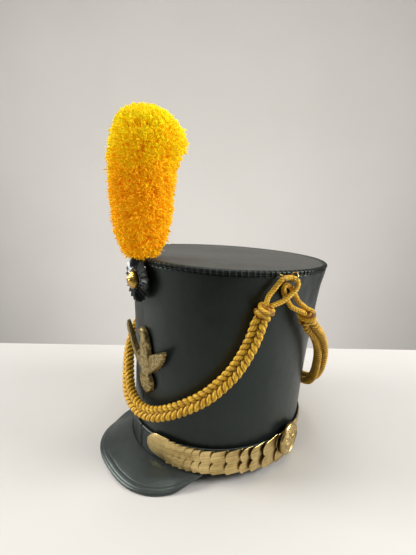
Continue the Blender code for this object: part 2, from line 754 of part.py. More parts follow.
def make_plume(build):
    """A club of wool, lofted through round sections that lean slightly."""
    points = []
    for row in PLUME_ROWS:
        for side in range(PLUME_SIDES):
            turn = 2 * pi * side / PLUME_SIDES
            x = PLUME_ACROSS + PLUME_HEIGHT * (row.across + row.radius * cos(turn))
            y = PLUME_ALONG + PLUME_HEIGHT * (row.along + row.radius * sin(turn))
            points.append((x, y, PLUME_FOOT + PLUME_HEIGHT * row.share))
    top = PLUME_ROWS[-1]
    points.append((PLUME_ACROSS, PLUME_ALONG, PLUME_FOOT))
    points.append((PLUME_ACROSS + PLUME_HEIGHT * top.across, PLUME_ALONG + PLUME_HEIGHT * top.along,
                   PLUME_FOOT + PLUME_HEIGHT))
    foot, crest = len(points) - 2, len(points) - 1
    last = (len(PLUME_ROWS) - 1) * PLUME_SIDES
    faces = []
    for side in range(PLUME_SIDES):
        nxt = (side + 1) % PLUME_SIDES
        faces.append((foot, nxt, side))
        faces.append((crest, last + side, last + nxt))
        for row in range(len(PLUME_ROWS) - 1):
            low = row * PLUME_SIDES
            faces.append((low + side, low + nxt, low + PLUME_SIDES + nxt, low + PLUME_SIDES + side))
    build.add_mesh("plume", points, faces, "wool")


def eagle_out():
    """How far the plate's back stands off the wall at its middle, to clear the wall all the way up."""
    flat = wall_frame(EAGLE_ANGLE, EAGLE_MIDDLE, 0).inverted()
    heights = np.linspace(EAGLE_MIDDLE - EAGLE_HEIGHT / 2, EAGLE_MIDDLE + EAGLE_HEIGHT / 2, 9)
    return EAGLE_CLEARANCE + max((flat @ crown_at(EAGLE_ANGLE, height)).z for height in heights)


def make_eagle(build):
    """A flat plate cut to the eagle's outline, standing just off the front of the wall."""
    curve = bpy.data.curves.new("eagle_plate", "CURVE")
    curve.dimensions = "2D"
    curve.fill_mode = "BOTH"
    curve.extrude = EAGLE_THICKNESS / 2
    curve.resolution_u = EAGLE_CURVE_STEPS
    spline = curve.splines.new("BEZIER")
    spline.use_cyclic_u = True
    spline.bezier_points.add(len(EAGLE_OUTLINE) - 1)
    for slot, point in zip(spline.bezier_points, EAGLE_OUTLINE):
        slot.co = (point.across * EAGLE_WIDTH, point.up * EAGLE_HEIGHT, 0)
        kind = "VECTOR" if point.corner else "AUTO"
        slot.handle_left_type = kind
        slot.handle_right_type = kind
    piece = build.add("eagle_plate", curve, "aged_brass")
    piece.matrix_local = wall_frame(EAGLE_ANGLE, EAGLE_MIDDLE, eagle_out() + EAGLE_THICKNESS / 2)


def make_cord_rings(build):
    for label, side in SIDES:
        for place, angle, tilt in zip(("front", "back"), RING_ANGLES, RING_TILTS):
            bpy.ops.mesh.primitive_torus_add(
                major_radius=RING_RADIUS, minor_radius=RING_WIRE_RADIUS,
                major_segments=RING_STEPS, minor_segments=RING_WIRE_STEPS,
            )
            ring = bpy.context.object
            mesh = ring.data
            bpy.data.objects.remove(ring)
            mesh.name = f"cord_ring_{label}_{place}"
            piece = build.add(mesh.name, mesh, "brass")
            frame = wall_frame(angle, RING_HEIGHT, RING_OUT, side)
            turn = Matrix.Rotation(radians(side * tilt), 4, "Z") @ Matrix.Rotation(pi / 2, 4, "Y")
            piece.matrix_local = frame @ turn


def place(route, side=1):
    return [side_point(side, point.angle, point.height, point.off) for point in route]


def mirrored_route(route):
    """A route that starts on the left and ends at the back, carried on to the right."""
    return [*route, *(CordPoint(360 - p.angle, p.height, p.off) for p in reversed(route[:-1]))]


def make_loop(build, name, side, route, knot_top, knot_way):
    """The two open strands that leave a knot side by side and pass through the rings."""
    outward = Vector((knot_top[0], knot_top[1] - TOP_SET_BACK, 0)).normalized()
    way = Vector(knot_way)
    across = way.cross(outward).normalized()
    points = place(route, side)
    if (points[0] - points[-1]).dot(across) < 0:
        across = -across
    foot = Vector(knot_top) + way * GAP
    start = foot + across * LOOP_SPREAD
    end = foot - across * LOOP_SPREAD
    routed = [start, start + way * LOOP_LEAD, *points, end + way * LOOP_LEAD, end]
    build.add_tube(name, smooth_curve(routed, LOOP_SPACING), LOOP_RADIUS, "cord")


def make_cord(build, which, route, loop):
    """A cap cord: loop, knot, plait, knot and loop, from the left side round to the right one."""
    line = smooth_curve(place(route), 0.002)
    length = float(np.linalg.norm(np.diff(line, axis=0), axis=1).sum())
    joint = KNOT_LENGTH + CORD_JOINT_GAP
    plait = stretch_of(line, joint, length - joint, PLAIT_SPACING)
    build.add_tube(f"{which}_plait", plait, PLAIT_RADIUS, "cord")
    ends = {"left": line, "right": line[::-1]}
    for label, side in SIDES:
        run = ends[label]
        knot = stretch_of(run, 0, KNOT_LENGTH, KNOT_LENGTH / 2)
        build.add_tube(f"{which}_knot_{label}", knot, KNOT_RADIUS, "cord")
        way = Vector(run[0] - run[1]).normalized()
        make_loop(build, f"{which}_loop_{label}", side, loop, run[0], way)


def make_cords(build):
    make_cord(build, "front_cord", FRONT_ROUTE, FRONT_LOOP)
    make_cord(build, "back_cord", mirrored_route(BACK_ROUTE), BACK_LOOP)


def main():
    clear_scene()
    build = Builder()
    make_crown_wall(build)
    make_crown_top(build)
    make_lower_band(build)
    make_peak(build)
    make_scales(build)
    make_back_strip(build)
    make_stem(build)
    make_cockade(build)
    make_button(build)
    make_plume(build)
    make_eagle(build)
    make_cord_rings(build)
    make_cords(build)


main()
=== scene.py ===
"""The looks of a tall leather shako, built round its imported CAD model.

Everything is in metres. The hat is modelled in its own frame, as the CAD is: its front faces -Y, the wearer's
left is +X and the plane of the head opening is z = 0. to_world leans it back onto the edge of its peak. An
angle round the crown is in degrees, from the front towards the wearer's left.
"""

from math import atan2, cos, pi, radians, sin

import bpy
import numpy as np
from mathutils import Matrix, Vector
from mathutils.geometry import delaunay_2d_cdt
from mathutils.kdtree import KDTree


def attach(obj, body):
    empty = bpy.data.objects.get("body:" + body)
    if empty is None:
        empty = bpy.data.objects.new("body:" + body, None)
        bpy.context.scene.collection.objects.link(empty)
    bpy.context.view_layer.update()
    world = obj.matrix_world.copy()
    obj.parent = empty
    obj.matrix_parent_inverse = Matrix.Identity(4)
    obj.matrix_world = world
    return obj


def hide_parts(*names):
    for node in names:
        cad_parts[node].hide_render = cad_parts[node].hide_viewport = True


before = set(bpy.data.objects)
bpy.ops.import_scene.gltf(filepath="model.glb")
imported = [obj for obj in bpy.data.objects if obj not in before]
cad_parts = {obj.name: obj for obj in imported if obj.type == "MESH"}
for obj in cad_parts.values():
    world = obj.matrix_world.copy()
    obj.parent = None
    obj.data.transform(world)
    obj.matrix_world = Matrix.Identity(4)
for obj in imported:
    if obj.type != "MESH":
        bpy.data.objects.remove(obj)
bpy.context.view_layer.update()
rng = np.random.default_rng(11)

GAP = 0.0003
BASE_LENGTH, BASE_WIDTH = 0.0999, 0.0971
TOP_LENGTH, TOP_WIDTH = 0.1144, 0.1059
SET_BACK, CROWN_HEIGHT, TOP_FALL, FLARE = 0.0162, 0.2090, 0.062, 2.24
WALL, TOP = 0.0025, 0.0025
BAND_OUT, BAND_STITCHES = 0.0019, 0.0252
STRAP_OUT = 0.0034
SCALE_BASE = 0.0044
SCALE_THICK = 0.0007
LEAN = atan2(0.0092, 0.2399)
LIFT = BASE_LENGTH * sin(LEAN)
SIDES = (("left", 1), ("right", -1))


def to_world(p):
    x, y, z = p[..., 0], p[..., 1], p[..., 2]
    return np.stack([x, y * cos(LEAN) + z * sin(LEAN), -y * sin(LEAN) + z * cos(LEAN) + LIFT], axis=-1)


def soft(distance, half):
    """1 in the middle, falling smoothly to 0 at the half spread."""
    distance = np.abs(np.asarray(distance, float))
    return np.where(distance < half, 0.5 + 0.5 * np.cos(pi * np.minimum(distance / half, 1)), 0.0)


def ease(low, high, x):
    t = np.clip((np.asarray(x, float) - low) / (high - low), 0, 1)
    return t * t * (3 - 2 * t)


def turned(angle):
    """An angle brought between -180 and 180."""
    return (np.asarray(angle, float) + 180) % 360 - 180


def ring_y(angle, share):
    half = BASE_LENGTH + (TOP_LENGTH - BASE_LENGTH) * share**FLARE
    return SET_BACK * share - half * np.cos(np.radians(angle))


def at_share(angle, share, out=0.0):
    """Points of the wall's outer face, or out metres off it, at a share of the crown's height."""
    angle, share, out = np.broadcast_arrays(*(np.asarray(v, float) for v in (angle, share, out)))
    flare = share**FLARE
    width = BASE_WIDTH + (TOP_WIDTH - BASE_WIDTH) * flare
    length = BASE_LENGTH + (TOP_LENGTH - BASE_LENGTH) * flare
    turn = np.radians(angle)
    y = ring_y(angle, share)
    nx, ny = np.sin(turn) / width, -np.cos(turn) / length
    size = np.hypot(nx, ny)
    z = CROWN_HEIGHT * share - TOP_FALL * share * y
    return np.stack([width * np.sin(turn) + nx / size * out, y + ny / size * out, z], axis=-1)


def at(angle, height, out=0.0):
    """The same at a height in metres."""
    angle, height, out = np.broadcast_arrays(*(np.asarray(v, float) for v in (angle, height, out)))
    share = np.maximum(height, 0) / CROWN_HEIGHT
    for _ in range(4):
        share = np.maximum(height, 0) / (CROWN_HEIGHT - TOP_FALL * ring_y(angle, share))
    points = at_share(angle, share, out)
    points[..., 2] = height
    return points


def wall_frame(angle, height, out, side=1):
    """A matrix whose origin lies off the wall, with Z pointing out of it and Y up."""
    origin = Vector(at(angle, height, out))
    outward = (Vector(at(angle, height, out + 0.01)) - origin).normalized()
    origin.x *= side
    outward.x *= side
    across = Vector((0, 0, 1)).cross(outward).normalized()
    return Matrix.Translation(origin) @ Matrix((across, (0, 0, 1), outward)).transposed().to_4x4()


def moved(matrix, points):
    m = np.array(matrix)
    return points @ m[:3, :3].T + m[:3, 3]


# Meshes


def grid_faces(rows, columns, wrap=False, wrap_rows=False, first=0):
    r = np.arange(rows if wrap_rows else rows - 1)[:, None]
    c = np.arange(columns if wrap else columns - 1)[None, :]
    r2, c2 = (r + 1) % rows, (c + 1) % columns
    quads = [r * columns + c, r * columns + c2, r2 * columns + c2, r2 * columns + c]
    return np.stack(quads, axis=-1).reshape(-1, 4) + first


def make(name, points, faces, look, replaces=(), uv=None, tint=None, sharp=None):
    """A piece from points in the hat's frame and a list of face arrays."""
    points = to_world(np.asarray(points, float).reshape(-1, 3))
    loops = np.concatenate([np.asarray(f).ravel() for f in faces]).astype(np.int32)
    sizes = np.concatenate([np.full(len(f), np.asarray(f).shape[1]) for f in faces])
    mesh = bpy.data.meshes.new(name)
    mesh.vertices.add(len(points))
    mesh.vertices.foreach_set("co", points.ravel())
    mesh.loops.add(len(loops))
    mesh.loops.foreach_set("vertex_index", loops)
    mesh.polygons.add(len(sizes))
    mesh.polygons.foreach_set("loop_start", np.concatenate([[0], np.cumsum(sizes)[:-1]]).astype(np.int32))
    mesh.update(calc_edges=True)
    mesh.validate()
    mesh.shade_smooth()
    if sharp:
        mesh.set_sharp_from_angle(angle=radians(sharp))
    if uv is not None:
        layer = mesh.uv_layers.new(name="UVMap")
        layer.data.foreach_set("uv", np.asarray(uv, np.float32)[loops].ravel())
    if tint is not None:
        colour = mesh.color_attributes.new("tint", "FLOAT_COLOR", "POINT")
        rgba = np.column_stack([tint, np.ones(len(tint))]).astype(np.float32)
        colour.data.foreach_set("color", rgba.ravel())
    mesh.materials.append(look)
    piece = bpy.data.objects.new(name, mesh)
    bpy.context.scene.collection.objects.link(piece)
    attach(piece, "root")
    if replaces:
        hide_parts(*replaces)
    return piece


def slab(front, back, wrap=False, flip=False):
    """Two grids of points joined round their borders into one closed skin."""
    rows, columns = front.shape[:2]
    total = rows * columns
    faces = [grid_faces(rows, columns, wrap), grid_faces(rows, columns, wrap)[:, ::-1] + total]
    c = np.arange(columns if wrap else columns - 1)
    c2 = (c + 1) % columns
    last = (rows - 1) * columns
    faces.append(np.stack([c + total, c2 + total, c2, c], axis=-1))
    faces.append(np.stack([last + c, last + c2, last + c2 + total, last + c + total], axis=-1))
    if not wrap:
        r = np.arange(rows - 1) * columns
        end = r + columns - 1
        faces.append(np.stack([r, r + columns, r + columns + total, r + total], axis=-1))
        faces.append(np.stack([end + total, end + columns + total, end + columns, end], axis=-1))
    if flip:
        faces = [f[:, ::-1] for f in faces]
    return np.concatenate([front.reshape(-1, 3), back.reshape(-1, 3)]), faces


def capped(rows, ends):
    """A closed skin from a stack of rings and the two points that end it."""
    rings = np.array(rows)
    count, spokes = rings.shape[:2]
    total, last = count * spokes, (count - 1) * spokes
    c = np.arange(spokes)
    c2 = (c + 1) % spokes
    faces = [grid_faces(count, spokes, wrap=True)[:, ::-1],
             np.stack([np.full(spokes, total), c, c2], axis=-1),
             np.stack([np.full(spokes, total + 1), last + c2, last + c], axis=-1)]
    return np.concatenate([rings.reshape(-1, 3), ends]), faces


def merged(parts):
    """Several (points, faces, uv) lists as one."""
    points, faces, uvs, first = [], [], [], 0
    for part_points, part_faces, part_uv in parts:
        points.append(part_points)
        faces += [f + first for f in part_faces]
        uvs.append(part_uv)
        first += len(part_points)
    return np.concatenate(points), faces, np.concatenate(uvs)


def travelled(points):
    return np.concatenate([[0], np.cumsum(np.linalg.norm(np.diff(points, axis=0), axis=1))])


def resampled(points, stops):
    along = travelled(points)
    return np.stack([np.interp(stops, along, points[:, k]) for k in range(3)], axis=1)


def smooth_curve(points, spacing):
    """Even points on a smooth curve through the given ones."""
    points = np.asarray(points, float)
    padded = np.vstack([2 * points[0] - points[1], points, 2 * points[-1] - points[-2]])
    fine = []
    for before, start, end, after in zip(padded, padded[1:], padded[2:], padded[3:]):
        for t in np.linspace(0, 1, 24, endpoint=False):
            fine.append(
                0.5 * (2 * start + (end - before) * t + (2 * before - 5 * start + 4 * end - after) * t**2
                       + (3 * start - before - 3 * end + after) * t**3)
            )
    fine = np.array([*fine, points[-1]])
    length = travelled(fine)[-1]
    return resampled(fine, np.linspace(0, length, max(2, int(np.ceil(length / spacing)) + 1)))


def unit(vectors):
    return vectors / np.linalg.norm(vectors, axis=-1, keepdims=True)


def tube(path, radius, sides, closed=False):
    """A tube round a path, with round ends. Its radius may vary by point, or by point and side."""
    path = np.asarray(path, float)
    count = len(path)
    if closed:
        tangent = unit(np.roll(path, -1, axis=0) - np.roll(path, 1, axis=0))
    else:
        tangent = unit(np.gradient(path, axis=0))
    normal = np.empty_like(path)
    normal[0] = unit(np.cross(tangent[0], [0.31, 0.17, 0.94]))
    for i in range(1, count):
        turned_on = normal[i - 1] - tangent[i] * (normal[i - 1] @ tangent[i])
        normal[i] = turned_on / np.linalg.norm(turned_on)
    if closed:
        slip = atan2(np.cross(normal[-1], normal[0]) @ tangent[0], normal[-1] @ normal[0])
    else:
        slip = 0.0
    side = np.cross(tangent, normal)
    turn = np.linspace(0, 2 * pi, sides, endpoint=False)[None, :] + slip * np.linspace(0, 1, count)[:, None]
    radius = np.asarray(radius, float)
    if radius.ndim == 1:
        radius = radius[:, None]
    radius = np.broadcast_to(radius, (count, sides)).copy()
    if not closed:
        radius[[0, -1]] *= 0.75
    ring = path[:, None] + radius[..., None] * (
        np.cos(turn)[..., None] * normal[:, None] + np.sin(turn)[..., None] * side[:, None]
    )
    along = travelled(path)
    round_it = np.arange(sides)[None, :] / sides
    uv = np.stack(np.broadcast_arrays(along[:, None], round_it), axis=-1).reshape(-1, 2)
    points = ring.reshape(-1, 3)
    faces = [grid_faces(count, sides, wrap=True, wrap_rows=closed)[:, ::-1]]
    if not closed:
        bulge = radius.mean(axis=1)[[0, -1]][:, None] * tangent[[0, -1]] * np.array([[-0.5], [0.5]])
        ends = path[[0, -1]] + bulge
        points = np.concatenate([points, ends])
        uv = np.concatenate([uv, [[0, 0.5], [along[-1], 0.5]]])
        c = np.arange(sides)
        c2 = (c + 1) % sides
        first = np.full(sides, count * sides)
        last = (count - 1) * sides
        faces.append(np.stack([first, c, c2], axis=-1)[:, ::-1])
        faces.append(np.stack([first + 1, last + c2, last + c], axis=-1)[:, ::-1])
    return points, faces, uv


# Looks: node-built materials


def look(name, **fixed):
    material = bpy.data.materials.new(name)
    material.use_nodes = True
    tree = material.node_tree
    shader = tree.nodes["Principled BSDF"]
    for key, value in fixed.items():
        shader.inputs[key.replace("_", " ")].default_value = value
    return material, tree, shader


def node(tree, kind, inputs=None, **settings):
    made = tree.nodes.new("ShaderNode" + kind)
    for key, value in settings.items():
        setattr(made, key, value)
    for key, value in (inputs or {}).items():
        socket = made.inputs[key]
        if isinstance(value, bpy.types.NodeSocket):
            tree.links.new(value, socket)
        else:
            socket.default_value = value
    return made


def place_of(tree, kind="Object"):
    return node(tree, "TexCoord").outputs[kind]


def noise(tree, where, scale, detail=3.0, rough=0.5):
    inputs = {"Vector": where, "Scale": scale, "Detail": detail, "Roughness": rough}
    return node(tree, "TexNoise", inputs).outputs["Fac"]


def cells(tree, where, scale):
    return node(tree, "TexVoronoi", {"Vector": where, "Scale": scale}).outputs["Distance"]


def stretched(tree, where, scale):
    return node(tree, "Mapping", {"Vector": where, "Scale": scale}).outputs[0]


def tint_of(tree):
    """The colour that the mesh carries at each point."""
    return node(tree, "Attribute", attribute_name="tint").outputs["Color"]


def ramp(tree, value, *stops):
    made = node(tree, "ValToRGB", {"Fac": value})
    band = made.color_ramp
    while len(band.elements) < len(stops):
        band.elements.new(0.5)
    for element, (position, colour) in zip(band.elements, stops):
        element.position = position
        element.color = (*colour, 1)
    return made.outputs["Color"]


def span(tree, value, low, high, new_low, new_high):
    inputs = {"Value": value, "From Min": low, "From Max": high, "To Min": new_low, "To Max": new_high}
    return node(tree, "MapRange", inputs).outputs[0]


def calc(tree, operation, a, b=0.0):
    return node(tree, "Math", {0: a, 1: b}, operation=operation).outputs[0]


def blended(tree, a, b, share):
    """A share of one value and the rest of the other."""
    return calc(tree, "ADD", calc(tree, "MULTIPLY", a, share), calc(tree, "MULTIPLY", b, 1 - share))


def multiplied(tree, a, b):
    return node(tree, "Mix", {0: 1.0, 6: a, 7: b}, data_type="RGBA", blend_type="MULTIPLY").outputs[2]


def bump(tree, height, strength, distance, over=None):
    inputs = {"Height": height, "Strength": strength, "Distance": distance}
    if over is not None:
        inputs["Normal"] = over
    return node(tree, "Bump", inputs).outputs[0]


def link(tree, shader, **sockets):
    for key, value in sockets.items():
        tree.links.new(value, shader.inputs[key.replace("_", " ")])


def leather(name, dark, light, smooth, rough, grain=1.0, coat=0.0, gloss=0.45):
    material, tree, shader = look(name, Coat_Weight=coat, Coat_Roughness=0.2, Specular_IOR_Level=gloss,
                                  Specular_Tint=(0.84, 1.0, 0.95, 1))
    where = place_of(tree)
    broad = noise(tree, where, 16, 4)
    fine = noise(tree, where, 220, 3)
    scuffs = noise(tree, stretched(tree, where, (1, 1, 0.35)), 70, 5, 0.65)
    pores = bump(tree, cells(tree, where, 950), 0.10 * grain, 0.0003)
    folds = bump(tree, noise(tree, where, 90, 4), 0.16 * grain, 0.0012, pores)
    link(tree, shader,
         Base_Color=ramp(tree, blended(tree, broad, scuffs, 0.6), (0.36, dark), (0.64, light)),
         Roughness=span(tree, blended(tree, fine, broad, 0.4), 0.35, 0.65, smooth, rough),
         Normal=bump(tree, noise(tree, where, 22, 2), 0.22 * grain, 0.003, folds))
    return material


def metal(name, dark, light, smooth, rough, grit=0.2, lines=None, scale=60):
    """Brass with a blotchy polish. With lines, it is also brushed along its UV map."""
    material, tree, shader = look(name, Metallic=1.0)
    blotch = noise(tree, place_of(tree), scale, 5, 0.6)
    if lines:
        brushed = noise(tree, stretched(tree, place_of(tree, "UV"), lines), 1, 3, 0.6)
        blotch = blended(tree, blotch, brushed, 0.5)
    link(tree, shader, Base_Color=ramp(tree, blotch, (0.34, dark), (0.62, light)),
         Roughness=span(tree, blotch, 0.3, 0.7, rough, smooth), Normal=bump(tree, blotch, grit, 0.0005))
    return material


def yarn(name, shade_colour, bright, turns, per_metre, creased=False):
    """A twisted cord: fine yarns run round it at a slant, with painted shade in its grooves and, by its tint,
    in creases.
    """
    material, tree, shader = look(name, Sheen_Weight=0.12, Sheen_Roughness=0.45,
                                  Sheen_Tint=(1.0, 0.72, 0.2, 1), Specular_IOR_Level=0.4)
    lay = node(tree, "SeparateXYZ", {0: place_of(tree, "UV")})
    phase = calc(tree, "ADD", calc(tree, "MULTIPLY", lay.outputs[0], per_metre * 2 * pi),
                 calc(tree, "MULTIPLY", lay.outputs[1], turns * 2 * pi))
    ridge = span(tree, calc(tree, "SINE", phase), -1, 1, 0, 1)
    blotch = noise(tree, place_of(tree), 130, 4, 0.6)
    # painted shade: the grooves of the twist are painted darker than its ridges
    colour = ramp(tree, blended(tree, ridge, blotch, 0.3), (0.25, shade_colour), (0.68, bright))
    if creased:
        colour = multiplied(tree, colour, tint_of(tree))
    fibre = bump(tree, noise(tree, place_of(tree), 1600, 2), 0.15, 0.0002)
    link(tree, shader, Base_Color=colour, Roughness=span(tree, blotch, 0.3, 0.7, 0.42, 0.62),
         Normal=bump(tree, ridge, 0.55, 0.0004, fibre))
    return material


def wool():
    # Painted light: the wool also glows with its own colour, though it is no lamp, to brighten the pile.
    material, tree, shader = look("yellow_wool_pile", Roughness=0.85, Sheen_Weight=0.08,
                                  Sheen_Roughness=0.6, Sheen_Tint=(1.0, 0.75, 0.1, 1),
                                  Specular_IOR_Level=0.2, Emission_Strength=0.17)
    shade = ramp(tree, noise(tree, place_of(tree), 75, 3), (0.35, (0.97, 0.86, 0.7)), (0.65, (1.0, 1.0, 1.0)))
    colour = multiplied(tree, tint_of(tree), shade)
    link(tree, shader, Base_Color=colour, Emission_Color=colour,
         Normal=bump(tree, noise(tree, place_of(tree), 1400, 2), 0.2, 0.0003))
    return material


def stage_look(name, low, high, rough):
    material, tree, shader = look(name, Roughness=rough, Specular_IOR_Level=0.25)
    link(tree, shader, Base_Color=ramp(tree, noise(tree, place_of(tree), 3, 3), (0.3, low), (0.7, high)),
         Normal=bump(tree, noise(tree, place_of(tree), 300, 2), 0.05, 0.0005))
    return material


LEATHER = leather("black_leather_fine", (0.0052, 0.0068, 0.0062), (0.0100, 0.0128, 0.0118), 0.34, 0.46, 1.3)
# Painted light: the top is painted lighter grey than the walls' black, partly dust, mostly light from above.
LIT_TOP_LEATHER = leather("top_leather_fine", (0.046, 0.046, 0.041), (0.064, 0.063, 0.057), 0.50, 0.62)
# Painted light: the peak is painted lighter than the walls' black, for the light its upturned face catches.
LIT_PEAK_LEATHER = leather("peak_leather_fine", (0.028, 0.033, 0.032), (0.046, 0.052, 0.050), 0.30, 0.44, 1.6,
                       gloss=0.6)
COCKADE_LEATHER = leather("cockade_leather_fine", (0.004, 0.005, 0.005), (0.012, 0.014, 0.014), 0.14, 0.28,
                          coat=0.5, gloss=0.3)
BAND_LEATHER = leather("band_leather_fine", (0.012, 0.014, 0.013), (0.024, 0.027, 0.026), 0.34, 0.48, 1.2)
# Partly wear, partly painted highlight: the band's edge binding is painted far lighter than the black
# leather.
LIT_BINDING = leather("binding_leather", (0.050, 0.060, 0.055), (0.085, 0.098, 0.090), 0.30, 0.42, 0.8)
LINING = leather("lining_leather", (0.050, 0.034, 0.020), (0.085, 0.058, 0.036), 0.60, 0.80)
SCALE_BRASS = metal("scale_brass_fine", (0.32, 0.215, 0.068), (0.76, 0.58, 0.26), 0.28, 0.44, 0.16,
                    lines=(9, 500, 1))
BRASS = metal("brass_fine", (0.26, 0.17, 0.055), (0.66, 0.50, 0.21), 0.22, 0.38, 0.12)
BUTTON_BRASS = metal("button_brass_fine", (0.26, 0.15, 0.035), (0.60, 0.38, 0.10), 0.22, 0.36, 0.12)
EAGLE_BRASS = metal("aged_brass_fine", (0.15, 0.11, 0.045), (0.42, 0.33, 0.15), 0.30, 0.50, 0.45, scale=330)
WIRE = metal("wire_fine", (0.22, 0.16, 0.06), (0.55, 0.42, 0.17), 0.25, 0.4, 0.05)
GILT = metal("gilt_strip_fine", (0.34, 0.23, 0.09), (0.70, 0.50, 0.20), 0.34, 0.5, 0.12, (9, 900, 1))
# The first colour of each yarn is painted shade for the grooves of its twist.
CORD = yarn("gold_cord_fine", (0.50, 0.25, 0.008), (0.92, 0.55, 0.034), 5, 300, creased=True)
CORD_FINE = yarn("gold_cord_thin", (0.50, 0.26, 0.011), (0.90, 0.55, 0.038), 3, 420)
THREAD = yarn("dark_thread", (0.006, 0.012, 0.013), (0.022, 0.036, 0.038), 2, 900)
WOOL = wool()


# Camera, stage and light


def set_camera():
    data = bpy.data.cameras.new("photo_camera")
    data.lens, data.sensor_width, data.sensor_fit = 32.44, 36, "HORIZONTAL"
    data.clip_start, data.clip_end = 0.01, 20
    camera = bpy.data.objects.new("photo_camera", data)
    bpy.context.scene.collection.objects.link(camera)
    yaw, pitch, roll = radians(54.415), radians(14.073), radians(-0.77)
    ahead = Vector((-sin(yaw) * cos(pitch), cos(yaw) * cos(pitch), -sin(pitch)))
    right = Vector((cos(yaw), sin(yaw), 0))
    up = right.cross(ahead)
    axes = Matrix((right * cos(roll) + up * sin(roll), up * cos(roll) - right * sin(roll), -ahead))
    camera.matrix_world = Matrix.Translation((0.3375, -0.2484, 0.29296)) @ axes.transposed().to_4x4()
    bpy.context.scene.camera = camera


def stage_quad(name, corners, material):
    mesh = bpy.data.meshes.new(name)
    mesh.from_pydata(corners, [], [(0, 1, 2, 3)])
    mesh.materials.append(material)
    piece = bpy.data.objects.new(name, mesh)
    bpy.context.scene.collection.objects.link(piece)


TABLE_EDGE, ALONG_EDGE = Vector((-0.1862, 0.1243, 0)), Vector((0.6386, 0.7695, 0))
TOWARDS_CAMERA = Vector((0.7695, -0.6386, 0))
WARM = (1.0, 0.985, 0.96)


def set_stage():
    """A pale table whose far edge shows behind the hat, and a pale wall well behind it."""
    left, right = TABLE_EDGE - ALONG_EDGE * 2.2, TABLE_EDGE + ALONG_EDGE * 2.2
    stage_quad("table", [left, left + TOWARDS_CAMERA * 0.73, right + TOWARDS_CAMERA * 0.73, right],
               stage_look("table_top", (0.60, 0.585, 0.560), (0.64, 0.628, 0.603), 0.45))
    drop = Vector((0, 0, -0.05))
    stage_quad("table_edge", [left + drop, right + drop, right, left],
               stage_look("table_side", (0.60, 0.58, 0.55), (0.66, 0.64, 0.60), 0.6))
    back = -TOWARDS_CAMERA
    low, high = Vector((0, 0, -1.0)), Vector((0, 0, 2.4))
    left, right = left + back, right + back
    stage_quad("backdrop", [left + low, right + low, right + high, left + high],
               stage_look("wall_paint", (0.455, 0.438, 0.415), (0.475, 0.458, 0.436), 0.9))


def area_light(name, location, target, size, power, colour=WARM):
    data = bpy.data.lights.new(name, "AREA")
    data.shape, data.size, data.energy, data.color = "SQUARE", size, power, colour
    light = bpy.data.objects.new(name, data)
    light.location = location
    light.rotation_mode = "QUATERNION"
    light.rotation_quaternion = (Vector(target) - Vector(location)).to_track_quat("-Z", "Y")
    bpy.context.scene.collection.objects.link(light)


def set_light():
    """Soft lights left, right and above, one that lights the wall from behind the table, and a pale room."""
    crown_middle = (0, 0, 0.12)
    area_light("key_left", (-0.95, -1.20, 0.95), crown_middle, 0.70, 27)
    area_light("fill_right", (0.95, 0.95, 0.75), crown_middle, 0.60, 23)
    area_light("overhead", (-0.05, 0.15, 1.7), (0, 0, 0), 0.9, 12, (1.0, 0.98, 0.95))
    below = Vector((-0.2462, 0.0343, -0.35))
    wall_foot = below + Vector((0, 0, 0.05)) - TOWARDS_CAMERA * 1.2
    area_light("low_behind", below - TOWARDS_CAMERA * 0.2, wall_foot, 1.3, 11)
    world = bpy.data.worlds.new("room")
    world.use_nodes = True
    tree = world.node_tree
    background = tree.nodes["Background"]
    background.inputs["Color"].default_value = (0.96, 0.95, 0.93, 1)
    inputs = {0: place_of(tree, "Generated"), 1: (0.813, -0.582, 0.0)}
    behind_camera = node(tree, "VectorMath", inputs, operation="DOT_PRODUCT").outputs["Value"]
    tree.links.new(span(tree, behind_camera, 0.15, 0.85, 0.34, 0.05), background.inputs["Strength"])
    bpy.context.scene.world = world
    bpy.context.scene.view_settings.view_transform = "Standard"


set_camera()
set_stage()
set_light()


# Cap cords

FRONT_HALF = ((71.4, 0.1798, 0.0093), (69.5, 0.1719, 0.0093), (68.2, 0.1640, 0.0096))
FRONT_ROUTE = (
    *FRONT_HALF, (65.3, 0.1432, 0.0099), (59.2, 0.1190, 0.0104), (51, 0.1000, 0.0110), (43, 0.0868, 0.0116),
    (31, 0.0725, 0.0118), (19, 0.0612, 0.0116), (7.5, 0.0562, 0.0112), (-3, 0.0572, 0.0106),
    (-12, 0.0605, 0.0100), (-20, 0.0665, 0.0094), (-28, 0.0745, 0.0096), (-36, 0.0842, 0.0113),
    (-43, 0.0960, 0.0128), (-51, 0.1090, 0.0130),
    (-59, 0.1240, 0.0118), (-65, 0.1430, 0.0104), *((-a, h, o) for a, h, o in reversed(FRONT_HALF)),
)
BACK_HALF = (
    (92.6, 0.1690, 0.0133), (94.6, 0.1620, 0.0138), (96.8, 0.1552, 0.0143), (100.6, 0.1480, 0.0148),
    (105.6, 0.1400, 0.0152), (112.6, 0.1262, 0.0159), (119, 0.1100, 0.0167), (124.6, 0.0935, 0.0165),
    (132, 0.0760, 0.0160), (142, 0.0580, 0.0150), (154, 0.0470, 0.0142), (168, 0.0420, 0.0136),
    (180, 0.0410, 0.0134),
)
BACK_ROUTE = (*BACK_HALF, *((360 - a, h, o) for a, h, o in reversed(BACK_HALF[:-1])))
RING_ANGLES, RING_TILTS, RING_HEIGHT, RING_OUT = (77.6, 83.9), (38, -30), 0.2048, 0.0064
RING_RADIUS, RING_WIRE = 0.0046, 0.0007
